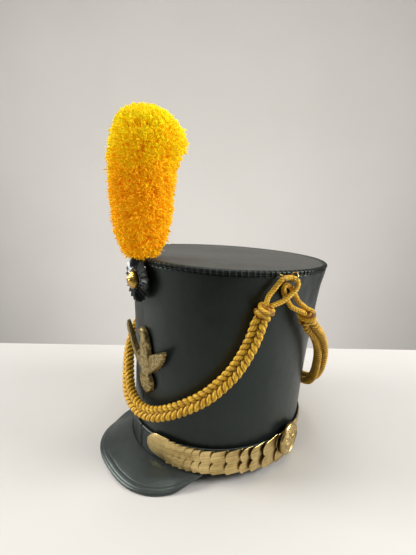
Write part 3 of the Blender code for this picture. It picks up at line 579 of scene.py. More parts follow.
FRONT_LOOP = (
    (71.6, 0.1885, 0.0072), (74.0, 0.1944, 0.0062), (77.6, 0.2035, RING_OUT), (80.8, 0.2047, RING_OUT),
    (83.9, 0.2035, RING_OUT), (86.0, 0.2010, 0.0069), (86.3, 0.1974, 0.0083), (84.9, 0.1926, 0.0094),
    (81.8, 0.1877, 0.0097), (78.4, 0.1835, 0.0097),
)
BACK_LOOP = (
    (85.6, 0.1750, 0.0080), (83.9, 0.1800, 0.0048), (82.0, 0.1860, 0.0034), (80.6, 0.1912, 0.0033),
    (80.5, 0.1952, 0.0033), (81.9, 0.1968, 0.0033), (83.8, 0.1953, 0.0033), (86.1, 0.1910, 0.0033),
    (88.7, 0.1844, 0.0040), (89.8, 0.1790, 0.0070),
)
PLAIT_STRANDS = 5
KNOT_LENGTH, KNOT_WRAPS, JOINT_GAP = 0.0120, 3, 0.0010
# The three tints below are painted shade: they darken the creases between strands and the cores seen between
# them.
CREASE_SHADE, CORE_SHADE, FILLING_SHADE = np.array([0.20, 0.12, 0.06]), (0.16, 0.10, 0.05), (0.62, 0.45, 0.24)


def placed(route, side=1):
    rows = np.array(route)
    points = at(rows[:, 0], rows[:, 1], rows[:, 2])
    points[:, 0] *= side
    return points


def cord_axes(line):
    """Along, out of the wall and across, at each point of a line."""
    tangent = unit(np.gradient(line, axis=0))
    outward = line - np.array([0, 0.010, 0])
    outward[:, 2] = 0
    outward = unit(outward)
    outward = unit(outward - tangent * (tangent * outward).sum(axis=1, keepdims=True))
    return tangent, outward, np.cross(tangent, outward)


def cord_grid(line, step, tilt):
    """Even stops along a line, and its axes there: across it, turned by the tilt, and out of the wall."""
    length = travelled(line)[-1]
    stops = np.linspace(0, length, int(length / step) + 1)
    centre = resampled(line, stops)
    _, out_axis, side_axis = cord_axes(centre)
    waist = 0.72 + 0.28 * ease(0, 0.006, np.minimum(stops, length - stops))
    across = side_axis * cos(tilt) - out_axis * sin(tilt)
    out = out_axis * cos(tilt) + side_axis * sin(tilt)
    return stops, centre, across, out, waist


def braided(line, pitch, width, depth, tilt):
    """The strands of a plait. Each crosses from edge to edge, over two others and under the next two."""
    stops, centre, across, out, waist = cord_grid(line, 0.15 * pitch, tilt)
    paths = []
    for k in range(PLAIT_STRANDS):
        turn = 2 * pi * stops / (PLAIT_STRANDS * pitch) + 2 * pi * k / PLAIT_STRANDS
        path = centre + across * (width * np.sin(turn) * waist)[:, None]
        paths.append(path + out * (depth * np.sin(2 * turn) * waist)[:, None])
    return paths


def creased(paths, radius, soft_for, sides, closed=False):
    """Tubes round the paths, with a tint of painted shade that darkens what lies close to another strand."""
    parts, tints = [], []
    for own, path in enumerate(paths):
        others = np.concatenate([other for k, other in enumerate(paths) if k != own])
        tree = KDTree(len(others))
        for index, spot in enumerate(others):
            tree.insert(spot, index)
        tree.balance()
        part = tube(path, radius, sides, closed=closed)
        near = np.array([tree.find(spot)[2] for spot in part[0]])
        open_share = ease(radius * 0.98, radius * 0.98 + soft_for, near)[:, None]
        parts.append(part)
        # painted shade: darker where another strand lies close
        tints.append(CREASE_SHADE * (1 - open_share) + open_share)
    return parts, tints


def filled(parts, tints, line, radius, sides, tint):
    """The strands with a plain core inside them, and the tints of all; the core's tint is painted shade."""
    core = tube(line, radius, sides)
    tints = np.concatenate([*tints, np.tile(tint, (len(core[0]), 1))])
    return (*merged([*parts, core]), tints)


def knot_paths(line, radius):
    """Turns of cord wrapped slantwise round the end of a plait."""
    core = resampled(line, np.linspace(0, KNOT_LENGTH, 12))
    _, out_axis, side_axis = cord_axes(core)
    along = travelled(core)
    paths = []
    for number in range(KNOT_WRAPS):
        turn = np.linspace(0, 2 * pi, 44, endpoint=False)
        tilt = (0.0030, -0.0026, 0.0022)[number]
        place = KNOT_LENGTH * (number + 0.68) / (KNOT_WRAPS + 0.30) + tilt * np.cos(turn - 0.8 + 1.7 * number)
        place = np.clip(place, 0.0016, KNOT_LENGTH - 0.0008)
        middle = np.stack([np.interp(place, along, core[:, k]) for k in range(3)], axis=1)
        ring = radius * (1 + 0.10 * np.cos(2 * turn + 2 * number) + 0.05 * np.sin(3 * turn + number))
        middle = middle + out_axis[5] * (ring * np.cos(turn))[:, None]
        paths.append(middle + side_axis[5] * (ring * np.sin(turn))[:, None])
    return core, paths


def loop_parts(side, route, knot_top, way):
    """The open loop that leaves a knot, passes through the rings and comes back: a twisted cord."""
    outward = unit(np.array([knot_top[0], knot_top[1] - SET_BACK, 0]))
    across = unit(np.cross(way, outward))
    points = placed(route, side)
    if (points[0] - points[-1]) @ across < 0:
        across = -across
    foot = knot_top + way * GAP
    start, end, lead = foot + across * 0.0030, foot - across * 0.0030, way * 0.0015
    line = smooth_curve([start, start + lead, *points, end + lead, end], 0.0009)
    along = travelled(line)
    tangent = unit(np.gradient(line, axis=0))
    normal = unit(np.cross(tangent, outward + 0.01))
    other = np.cross(tangent, normal)
    parts = []
    for k in range(3):
        turn = 2 * pi * along / 0.0085 + 2 * pi * k / 3
        path = line + 0.00125 * (np.cos(turn)[:, None] * normal + np.sin(turn)[:, None] * other)
        parts.append(tube(path, 0.00135, 9))
    return parts


def make_cord(which, route, loop, plait, strand, crease, sides, core_radius):
    """A cap cord: its plait, and a knot and a loop at each end. plait holds what braided takes."""
    line = smooth_curve(placed(route), 0.002)
    length = travelled(line)[-1]
    joint = KNOT_LENGTH + JOINT_GAP
    middle = resampled(line, np.linspace(joint - 0.0006, length - joint + 0.0006, int(length / 0.002)))
    extras = []
    for label, side in SIDES:
        run = line if side > 0 else line[::-1]
        way = unit(run[0] - run[1])
        core, wraps = knot_paths(run, 0.0060)
        points, faces, uv, tint = filled(*creased(wraps, 0.0026, 0.0011, 12, closed=True), core, 0.0056, 20,
                                         FILLING_SHADE)
        knot = make(f"{which}_knot_{label}_fine", points, faces, CORD, [f"{which}_knot_{label}"],
                    uv, tint)
        points, faces, uv = merged(loop_parts(side, loop, run[0], way))
        strands = make(f"{which}_loop_{label}_fine", points, faces, CORD_FINE,
                       [f"{which}_loop_{label}"], uv)
        extras += [knot, strands]
    parts, tints = creased(braided(middle, *plait), strand, crease, sides)
    points, faces, uv, tint = filled(parts, tints, middle, core_radius, 12, CORE_SHADE)
    piece = make(f"{which}_plait_fine", points, faces, CORD, [f"{which}_plait"], uv, tint)


make_cord("front_cord", FRONT_ROUTE, FRONT_LOOP, (0.0064, 0.0052, 0.0030, radians(27)), 0.0027, 0.0011, 12,
          0.0012)
make_cord("back_cord", BACK_ROUTE, BACK_LOOP, (0.0041, 0.0060, 0.0037, radians(50)), 0.0018, 0.0021, 8,
          0.0018)


def make_rings():
    for label, side in SIDES:
        for place, angle, tilt in zip(("front", "back"), RING_ANGLES, RING_TILTS):
            turn = np.linspace(0, 2 * pi, 40, endpoint=False)
            circle = RING_RADIUS * np.stack([np.cos(turn), np.sin(turn), 0 * turn], axis=1)
            spin = Matrix.Rotation(radians(side * tilt), 4, "Z") @ Matrix.Rotation(pi / 2, 4, "Y")
            path = moved(wall_frame(angle, RING_HEIGHT, RING_OUT, side) @ spin, circle)
            points, faces, uv = tube(path, RING_WIRE, 10, closed=True)
            name = f"cord_ring_{label}_{place}"
            make(name + "_fine", points, faces, WIRE, [name], uv)


make_rings()


# Crown

DENTS = np.array([
    (92, 0.95, 5, 0.12, -0.0009), (101, 0.93, 5, 0.14, 0.0008), (109, 0.94, 4, 0.13, -0.0009),
    (118, 0.92, 6, 0.16, 0.0008), (129, 0.97, 7, 0.10, 0.0016), (70, 0.55, 28, 0.30, -0.0012),
    (205, 0.60, 30, 0.35, -0.0015), (292, 0.50, 26, 0.30, -0.0012),
])
SEAM_ANGLE = -0.9
STITCHES = 124


def dents(angle, share):
    total = np.zeros(np.broadcast(angle, share).shape)
    for where, level, half_angle, half_share, out in DENTS:
        total = total + out * soft(turned(angle - where), half_angle) * soft(share - level, half_share)
    return total


def wall_relief(angle, share):
    """How far the leather stands out: dents, gathers under the rim, the front seam and creases."""
    way = turned(angle)
    total = dents(angle, share)
    free = ease(0.16, 0.24, share)
    total = total + 0.00022 * free * np.sin(np.radians(3 * way + 40) + 5 * share)
    total = total + 0.00016 * free * np.sin(np.radians(7 * way) - 11 * share)
    gather = np.exp(-((1 - share) / 0.028)) * (0.5 - 0.5 * np.cos(np.radians(way) * STITCHES))
    total = total - 0.00035 * gather
    folds = np.exp(-((1 - share) / 0.13)) * soft(way - 106, 24)
    total = total + 0.00095 * folds * np.sin(np.radians(27 * way) - 38 * share)
    strip = ease(-15, -3, way) * (way < SEAM_ANGLE) * ease(0.14, 0.2, share)
    total = total + 0.00035 * strip * (1 - ease(0.93, 0.985, share))
    total = total - 0.00035 * soft(way - SEAM_ANGLE - 0.25, 0.5) * ease(0.14, 0.17, share)
    crease = 32.4 + (0.765 - share) / 0.136 * 13.1
    total = total - 0.00016 * soft(way - crease, 0.55) * soft(share - 0.70, 0.09)
    return total


def make_wall():
    columns = 420
    angle = np.linspace(0, 360, columns, endpoint=False)
    top = 1 - (TOP + GAP + 0.0006) / CROWN_HEIGHT
    rows = []
    for share in np.linspace(0.002, top - 0.004, 100):
        rows.append(at_share(angle, share, wall_relief(angle, share)))
    edge = wall_relief(angle, top)
    for back, drop in ((0.0003, 0.0009), (0.0009, 0.0002), (0.0016, 0.0002), (0.0022, 0.0009)):
        rows.append(at_share(angle, top - drop / CROWN_HEIGHT, edge - back))
    for share in np.linspace(top - 0.01, 0.006, 14):
        rows.append(at_share(angle, share, np.minimum(dents(angle, share), 0.0) - WALL))
    for back in (0.0021, 0.0012, 0.0005):
        rows.append(at_share(angle, 0.0, -back))
    grid = np.array(rows)
    faces = grid_faces(len(rows), columns, wrap=True, wrap_rows=True)
    shell = make("crown_wall_fine", grid, [faces], LEATHER, ["crown_wall"])
    shell.data.materials.append(LINING)
    inner = np.zeros(len(faces), np.int32)
    inner[103 * columns:118 * columns] = 1  # the inside of the wall
    shell.data.polygons.foreach_set("material_index", inner)


WAVES = ((-0.45, -0.15, 0.50, -0.0012), (-0.50, 0.40, 0.45, 0.0016), (0.35, 0.25, 0.60, -0.0010))


def top_points(angle, share, drop=0.0):
    edge = at_share(angle, 1.0, 0.0004 + np.maximum(0, dents(angle, 1.0)))
    x = edge[..., 0] * share
    y = SET_BACK + (edge[..., 1] - SET_BACK) * share
    across, along = x / TOP_WIDTH, (y - SET_BACK) / TOP_LENGTH
    radius = np.hypot(across, along)
    wave = sum(h * soft(np.hypot(across - a, along - b), s) for a, b, s, h in WAVES)
    wave = wave + 0.00025 * np.sin(9 * across + 4 * along) * np.cos(7 * along - 3 * across)
    wave = wave * np.clip((1 - radius) / 0.25, 0, 1)
    pull = 0.00030 * ease(0.955, 0.985, share) * (0.5 - 0.5 * np.cos(np.radians(angle) * STITCHES))
    hem = 0.00045 * soft(share - 0.978, 0.016)
    z = CROWN_HEIGHT - TOP_FALL * y + wave - pull + hem - drop
    return np.stack(np.broadcast_arrays(x, y, z), axis=-1)


def make_top():
    columns = 420
    angle = np.linspace(0, 360, columns, endpoint=False)
    shares = [*np.linspace(0.02, 0.93, 40), *np.linspace(0.94, 0.994, 12)]
    rows = [top_points(angle, s) for s in shares]
    for out, drop in ((0.998, 0.0003), (1.0, 0.0009), (1.0, 0.0017), (0.997, 0.0023), (0.99, TOP)):
        rows.append(top_points(angle, out, drop))
    rows += [top_points(angle, s, TOP) for s in (0.95, 0.8, 0.6, 0.4, 0.2, 0.02)]
    points, faces = capped(rows, [top_points(0.0, 0.0), top_points(0.0, 0.0, TOP)])
    top = make("crown_top_fine", points, faces, LIT_TOP_LEATHER, ["crown_top"])
    top.data.materials.append(LEATHER)
    dark = np.zeros(sum(len(f) for f in faces), np.int32)
    dark[46 * columns:56 * columns] = 1  # the hem and the rim
    top.data.polygons.foreach_set("material_index", dark)


def make_rim_stitches():
    """Whip stitches over the edge of the top, and the run of thread along it."""
    parts = []
    for number in range(STITCHES):
        start = 360 * number / STITCHES + rng.uniform(-0.15, 0.15)
        lean = rng.uniform(1.2, 1.6)
        inner = top_points(start, 0.966)[None]
        over = top_points(start + lean * 0.35, 0.985)[None] + [[0, 0, 0.0004]]
        edge = np.stack([
            at_share(start + lean * 0.55, 1.0, 0.0009) - [0, 0, 0.0004],
            at_share(start + lean * 0.8, 1 - 0.0030 / CROWN_HEIGHT, 0.0008),
            at_share(start + lean, 1 - 0.0052 / CROWN_HEIGHT, 0.0002),
        ])
        parts.append(tube(smooth_curve(np.concatenate([inner, over, edge]), 0.0009), 0.00050, 5))
    for share, out in ((0.964, None), (1 - 0.0034 / CROWN_HEIGHT, 0.0001)):
        angle = np.linspace(0, 360, 720, endpoint=False)
        path = top_points(angle, share) if out is None else at_share(angle, share, out)
        parts.append(tube(path, 0.00062, 6, closed=True))
    points, faces, uv = merged(parts)
    make("rim_stitching", points, faces, THREAD, uv=uv)


make_wall()
make_top()
make_rim_stitches()


def make_band():
    columns = 420
    angle = np.linspace(0.35, 359.65, columns)
    clear = 1 - ease(76, 81, np.abs(turned(angle))) * (1 - ease(115, 119, np.abs(turned(angle))))
    rows = [at(angle, 0.0012, BAND_OUT - 0.0004)]
    heights = np.linspace(0.0016, 0.0284, 44)
    for height in heights:
        fold = ease(0.0255, 0.0264, height) * (1 - 0.3 * ease(0.0275, 0.0284, height))
        groove = soft(height - BAND_STITCHES, 0.0007)
        low = soft(height - 0.0030, 0.0012)
        out = BAND_OUT + clear * (0.0009 * fold - 0.0004 * groove + 0.0002 * low)
        rows.append(at(angle, height, out))
    rows.append(at(angle, 0.0288, BAND_OUT - 0.0001))
    front = np.array(rows)
    back = np.array([at(angle, height, GAP) for height in (0.0010, *heights, 0.0288)])
    points, faces = slab(front, back)
    make("lower_band_fine", points, faces, BAND_LEATHER, ["lower_band"])
    stitch_out = 0.0002 * np.array([-1, 1, 1, -1])
    parts = []
    for start in np.arange(3.0, 357, 1.72):
        if 78 < abs(turned(start)) < 116:
            continue
        spot = at(start + np.linspace(0, 1.15, 4), BAND_STITCHES, BAND_OUT + stitch_out)
        parts.append(tube(spot, 0.00028, 5))
    for angle_end in (1.6, 358.4):
        for height in np.arange(0.006, 0.026, 0.0042):
            spot = at(angle_end, height + np.linspace(0, 0.0028, 4), BAND_OUT + stitch_out)
            parts.append(tube(spot, 0.00030, 5))
    points, faces, uv = merged(parts)
    make("band_stitching", points, faces, THREAD, uv=uv)
    # The bindings' light colour is partly a painted highlight along the band's edges.
    for place, height, radius in (("upper", 0.0292, 0.00055), ("lower", 0.0278, 0.00040)):
        points, faces, uv = tube(at(np.linspace(0.6, 359.4, 360), height, BAND_OUT + 0.0002), radius, 8)
        make(f"band_binding_{place}", points, faces, LIT_BINDING, uv=uv)


make_band()


# Peak

PEAK_LENGTH, PEAK_HALF_WIDTH = 0.0401, 0.0745


def peak_edge(across):
    """The peak's outer edge, a rounded shape that rises to the band at its two ends."""
    turn = across * pi / 2
    power = 2 / 2.55
    root_y = float(ring_y(45.0, 0.0))
    depth = BASE_LENGTH + PEAK_LENGTH + root_y
    x = PEAK_HALF_WIDTH * np.abs(np.sin(turn)) ** power * np.sign(across)
    y = root_y - depth * np.abs(np.cos(turn)) ** power
    rise = ease(0.72, 1.0, np.abs(across))
    low = -(BASE_LENGTH - y) * np.tan(LEAN) + 0.0030
    return np.stack([x, y, low + (0.0034 - low) * rise], axis=-1)


def peak_grid(across, share):
    """Points of the peak's upper face, with a groove and a rolled border inside its edge."""
    seat = at(45.0 * across, 0.0034, GAP + 0.0016 + 0.0005 + 0.0020)
    edge = peak_edge(across)
    span_length = np.linalg.norm(edge - seat, axis=-1)
    reach = np.minimum(1.0, span_length / PEAK_LENGTH)
    point = seat + (edge - seat) * share
    inside = (1 - share) * span_length
    swell = 0.0012 * np.sin(pi * share)
    groove = -0.00018 * soft(inside - 0.0070, 0.0013) - 0.00030 * soft(inside - 0.0022, 0.0009)
    roll = 0.00018 * soft(inside - 0.0045, 0.0024)
    roll = roll - 0.0006 * (1 - ease(0, 0.0012, inside))
    dimple = 0.00035 * np.sin(9 * across + 5 * share) * np.sin(7 * share - 3 * across) * np.sin(pi * share)
    point[..., 2] += reach * (swell + groove + roll + dimple)
    return point, edge, seat


def make_peak():
    columns = 160
    across = np.sin(np.linspace(-1, 1, columns) * pi / 2 * 0.98) / sin(pi / 2 * 0.98)
    rows = []
    for share in [0.0, *np.linspace(0.02, 0.70, 20), *np.linspace(0.715, 1.0, 34)]:
        rows.append(peak_grid(across, share)[0])
    point, edge, seat = peak_grid(across, 1.0)
    away = unit((edge - seat) * [1, 1, 0] + [0, -1e-6, 0])
    for out, drop in ((0.0003, 0.0006), (0.0004, 0.0014), (0.0001, 0.0020)):
        ring = point + away * out
        ring[..., 2] -= drop
        rows.append(ring)
    for share in np.linspace(0.985, 0, 12):
        ring = seat + (edge - seat) * share
        reach = np.minimum(1, np.linalg.norm(edge - seat, axis=-1) / PEAK_LENGTH)
        ring[..., 2] += 0.0012 * np.sin(pi * share) * reach - 0.0030
        rows.append(ring)
    foot = at(45.0 * across, 0.0004, GAP + 0.0016 + 0.0005)
    rows.append(foot)
    rows.append(foot + [0, 0, 0.0030])
    grid = np.array(rows)
    count = len(rows)
    faces = [grid_faces(count, columns, wrap_rows=True)[:, ::-1],
             (np.arange(count) * columns)[None, :],
             (np.arange(count) * columns + columns - 1)[None, ::-1]]
    make("peak_fine", grid, faces, LIT_PEAK_LEATHER, ["peak"], sharp=50)


make_peak()


# Chin scales

SCALE_RUN = np.array([
    (8, 0.0190, 0.0100), (16, 0.0212, 0.0116), (24, 0.0204, 0.0128), (36, 0.0182, 0.0128),
    (50, 0.0170, 0.0126), (67, 0.0170, 0.0128), (81, 0.0172, 0.0140), (91, 0.0176, 0.0160),
    (116, 0.0180, 0.0165),
])
SCALE_RUNS = (("left", 1, 8.5, 0), ("right", -1, 33.0, 5))
SCALE_EDGES = (24.4, 28.5, 32.4, 36.6, 40.8, 45.1, 51.2, 59.2, 67.3, 73.2, 81.0, 91.0)


def scale_height(angle, level):
    middle = np.interp(angle, SCALE_RUN[:, 0], SCALE_RUN[:, 1])
    return middle + level * np.interp(angle, SCALE_RUN[:, 0], SCALE_RUN[:, 2])


def side_sheet(name, side, angle, level, out, thickness, material):
    front = at(angle, scale_height(angle, level), out)
    back = at(angle, scale_height(angle, level), out - thickness)
    front[..., 0] *= side
    back[..., 0] *= side
    points, faces = slab(front, back, flip=side < 0)
    width = np.radians(angle) * 0.1
    uv = np.stack(np.broadcast_arrays(width, scale_height(angle, level)), axis=-1).reshape(-1, 2)
    piece = make(name + "_fine", points, faces, material, [name], uv=np.concatenate([uv, uv]), sharp=40)
    bevel = piece.modifiers.new("Edge", "BEVEL")
    bevel.width, bevel.segments, bevel.limit_method, bevel.angle_limit = 0.00022, 1, "ANGLE", radians(40)


def make_plate(name, side, front, back, lift):
    level = np.linspace(-1, 1, 33)[:, None]
    step = np.linspace(0, 1, 12)[None, :]
    lobes = 1 - np.abs(np.sin(pi * level)) ** 0.62
    edge = front - 0.25 + 1.7 * lobes
    angle = edge + (back - edge) * step
    crown = np.abs(np.sin(pi * level)) ** 0.8
    domed = 0.00055 * crown * np.sin(pi * np.minimum(1, step * 1.15 + 0.1))
    out = SCALE_BASE + lift * (1 - step) ** 1.5 + domed
    side_sheet(name, side, angle, np.broadcast_to(level, angle.shape), out, SCALE_THICK, SCALE_BRASS)


def make_scales():
    for label, side, tip_front, first in SCALE_RUNS:
        edges = SCALE_EDGES[first:]
        for number, (front, following) in enumerate(zip(edges, edges[1:]), start=1):
            lift = float(np.interp(front, (24, 45, 60, 82), (0.0021, 0.0023, 0.0028, 0.0031)))
            make_plate(f"scale_plate_{label}_{number:02d}", side, front, following + 1.5, lift)
        make_plate(f"scale_end_plate_{label}", side, edges[-1], 113.0, 0.0016)
        back = edges[0] + 1.5
        level = np.linspace(-1, 1, 25)[:, None]
        step = np.linspace(0, 1, 40)[None, :]
        angle = tip_front + (back - tip_front) * step + 0 * level
        rounded = np.sin(np.minimum(1.0, 0.16 + 2.3 * step) * pi / 2) ** 0.8
        edge_in = np.minimum(1 - np.abs(level), 0.25) / 0.25
        out = SCALE_BASE + 0.0006 * ease(0, 1, edge_in) * ease(0, 0.12, step) * (1 - ease(0.8, 0.95, step))
        side_sheet(f"scale_tip_{label}", side, angle, level * rounded, out, SCALE_THICK, SCALE_BRASS)
        angle = np.broadcast_to(np.linspace(tip_front + 2.5, 110.5, 120)[None, :], (7, 120))
        level = np.broadcast_to(np.linspace(-0.72, 0.72, 7)[:, None], (7, 120))
        out = STRAP_OUT - 0.0003 * (np.abs(level) > 0.7)
        side_sheet(f"scale_strap_{label}", side, angle, level, out, 0.0012, BAND_LEATHER)


make_scales()


def make_back_strip():
    angle = np.broadcast_to(np.linspace(113.5, 246.5, 200)[None, :], (13, 200))
    level = np.linspace(-1, 1, 13)[:, None]
    height = 0.0230 + 0.0052 * level + 0 * angle
    out = 0.0022 + 0.0009 + 0.0003 * ease(0, 0.3, 1 - np.abs(level)) - 0.0003 * (np.abs(level) > 0.98)
    front, back = at(angle, height, out), at(angle, height, 0.0022)
    points, faces = slab(front, back)
    uv = np.stack([np.radians(angle) * 0.1, height], axis=-1).reshape(-1, 2)
    make("back_strip_fine", points, faces, GILT, ["back_strip"],
         uv=np.concatenate([uv, uv]), sharp=40)


make_back_strip()


# Turned and embossed pieces


def disc(radius, edge, relief, rings, spokes, to_frame):
    """A round piece: a skin whose height over the disc is given by relief(share, turn), on a flat back."""
    turn = np.linspace(0, 2 * pi, spokes, endpoint=False)
    circle = radius * np.stack([np.cos(turn), np.sin(turn), 0 * turn], axis=-1)
    rows = [circle * share + [[0, 0, 1]] * relief(share, turn)[:, None]
            for share in np.linspace(0.03, 1, rings)]
    rows += [circle + [0, 0, edge], circle, circle * 0.5]
    points, faces = capped(rows, [[0, 0, float(np.mean(relief(0.0, turn)))], [0, 0, 0]])
    return moved(to_frame, points), faces, points[:, :2].copy()


def boss_relief(share, turn):
    """A domed disc with a beaded rim and an eight-petalled rosette."""
    dome = 0.0019 + 0.0008 * np.cos(pi / 2 * share)
    rim = 0.0011 * soft(share - 0.93, 0.09)
    beads = 0.0009 * soft(share - 0.76, 0.06) * np.abs(np.cos(16 * turn))
    petal = 0.0015 * soft(share - 0.40, 0.27) * np.abs(np.cos(4 * turn)) ** 0.7
    vein = -0.0004 * soft(share - 0.42, 0.22) * np.abs(np.cos(4 * turn)) ** 12
    heart = 0.0013 * soft(share, 0.16)
    return dome + rim + beads + petal + vein + heart


def button_relief(share, turn):
    dome = 0.0022 + 0.0046 * np.cos(pi / 2 * share)
    rope = 0.00035 * soft(share - 0.86, 0.10) * (0.6 + 0.4 * np.cos(22 * turn + 14 * share))
    star = 0.00035 * soft(share - 0.28, 0.30) * np.abs(np.cos(3 * turn)) ** 1.5
    return dome + rope + star


STEM_Y = float(at_share(0.0, 1.0, 0.0004)[1]) - GAP - 0.0010
COCKADE_Y = STEM_Y - 0.0010 - GAP
COCKADE_X, COCKADE_HEIGHT, COCKADE_RADIUS, COCKADE_PLEATS = 0.0024, 0.1940, 0.0222, 22
BUTTON_RADIUS, BOSS_RADIUS = 0.0090, 0.0178
BOSS_ANGLE, BOSS_HEIGHT, BOSS_TURN = 101.5, 0.0226, 5
PLUME_X = 0.0005


def cockade_fold(turn):
    """The section of the pleats round the disc: each rises slowly and drops back sharply."""
    phase = (turn * COCKADE_PLEATS / (2 * pi)) % 1.0
    return np.where(phase < 0.72, phase / 0.72, (1 - phase) / 0.28)


def make_cockade():
    spokes, rings = COCKADE_PLEATS * 18, 30
    turn = np.linspace(0, 2 * pi, spokes, endpoint=False)
    fold = cockade_fold(turn)
    rows = []
    for share in np.linspace(0.03, 1, rings):
        wide = COCKADE_RADIUS * share + 0.0007 * (fold - 0.5) * ease(0.8, 1, share) * 2
        puff = 0.0024 + 0.0026 * (1 - share**2) + 0.0028 * (fold - 0.5) * ease(0.3, 0.8, share)
        ring = 0.0005 * soft(share - 0.50, 0.06)
        rows.append(np.stack([wide * np.cos(turn), wide * np.sin(turn), puff + ring], axis=-1))
    outer = rows[-1]
    rows.append(outer * [1.005, 1.005, 0.8])
    rows.append(outer * [0.99, 0.99, 0.0])
    rows.append(outer * [0.5, 0.5, 0.0])
    points, faces = capped(rows, [[0, 0, 0.0049], [0, 0, 0]])
    to_front = Matrix.Translation((COCKADE_X, COCKADE_Y, COCKADE_HEIGHT)) @ Matrix.Rotation(pi / 2, 4, "X")
    make("cockade_fine", moved(to_front, points), faces, COCKADE_LEATHER, ["cockade"],
         sharp=50)
    to_button = Matrix.Translation((0, -0.0050 - GAP, 0)) @ to_front
    points, faces, uv = disc(BUTTON_RADIUS, 0.0018, button_relief, 30, 132, to_button)
    make("cockade_button_fine", points, faces, BUTTON_BRASS, ["cockade_button"], uv=uv, sharp=60)


def make_bosses():
    for label, side in SIDES:
        place = wall_frame(BOSS_ANGLE, BOSS_HEIGHT, STRAP_OUT + 2 * GAP + SCALE_THICK + 0.0014, side)
        place = place @ Matrix.Rotation(radians(BOSS_TURN * side), 4, "Y")
        points, faces, uv = disc(BOSS_RADIUS, 0.0013, boss_relief, 48, 192, place)
        make(f"boss_{label}_fine", points, faces, BRASS, [f"boss_{label}"], uv=uv, sharp=60)


def make_stem():
    height = np.linspace(0.1820, 0.2180, 60)
    parts = []
    for k in range(2):
        turn = 2 * pi * height / 0.005 + pi * k
        path = np.stack([PLUME_X + 0.0005 * np.cos(turn), STEM_Y + 0.0005 * np.sin(turn), height], axis=1)
        parts.append(tube(path, 0.00052, 8))
    points, faces, uv = merged(parts)
    make("plume_stem_fine", points, faces, WIRE, ["plume_stem"], uv=uv)


make_cockade()
make_bosses()
make_stem()


# Eagle plate

EAGLE_OUTLINE = (
    (-0.50, 0.48, 1), (-0.44, 0.49, 0), (-0.33, 0.33, 0), (-0.17, 0.08, 1), (-0.13, 0.22, 0),
    (-0.12, 0.36, 0), (-0.17, 0.44, 1), (-0.08, 0.50, 0), (0.03, 0.46, 0), (0.10, 0.28, 0), (0.12, 0.14, 1),
    (0.30, 0.23, 0), (0.50, 0.32, 1), (0.46, 0.19, 0), (0.38, 0.06, 0), (0.26, -0.06, 0), (0.11, -0.16, 1),
    (0.18, -0.26, 0), (0.17, -0.38, 0), (0.04, -0.50, 1), (-0.10, -0.42, 0), (-0.14, -0.30, 0),
    (-0.11, -0.17, 1), (-0.24, -0.04, 0), (-0.36, 0.14, 0), (-0.45, 0.34, 0),
)
FEATHERED = (12, 13, 14, 15, 17, 18, 19, 20, 22, 23, 24, 25)
EAGLE_WIDTH, EAGLE_HEIGHT = 0.0750, 0.0730
EAGLE_PLACE = 4.2, 0.1065, 0.0024


def eagle_outline():
    rows = np.array(EAGLE_OUTLINE)
    points, corner = rows[:, :2] * [EAGLE_WIDTH, EAGLE_HEIGHT], rows[:, 2] > 0
    count = len(points)
    made = []
    for i in range(count):
        before, start, end, after = points[i - 1], points[i], points[(i + 1) % count], points[(i + 2) % count]
        leave = end - start if corner[i] else (end - before) / 2
        reach = end - start if corner[(i + 1) % count] else (after - start) / 2
        for t in np.linspace(0, 1, 24, endpoint=False):
            spot = ((2 * t**3 - 3 * t**2 + 1) * start + (t**3 - 2 * t**2 + t) * leave
                    + (-2 * t**3 + 3 * t**2) * end + (t**3 - t**2) * reach)
            if i in FEATHERED:
                along = unit(end - start)
                tips = 2 if np.linalg.norm(end - start) < 0.011 else 3
                spot = spot + np.array([along[1], -along[0]]) * 0.0010 * abs(sin(pi * tips * t)) ** 0.7
            made.append(spot)
    return np.array(made)


def ridges(value, sharp=1.0):
    return np.abs(np.sin(pi * value)) ** sharp


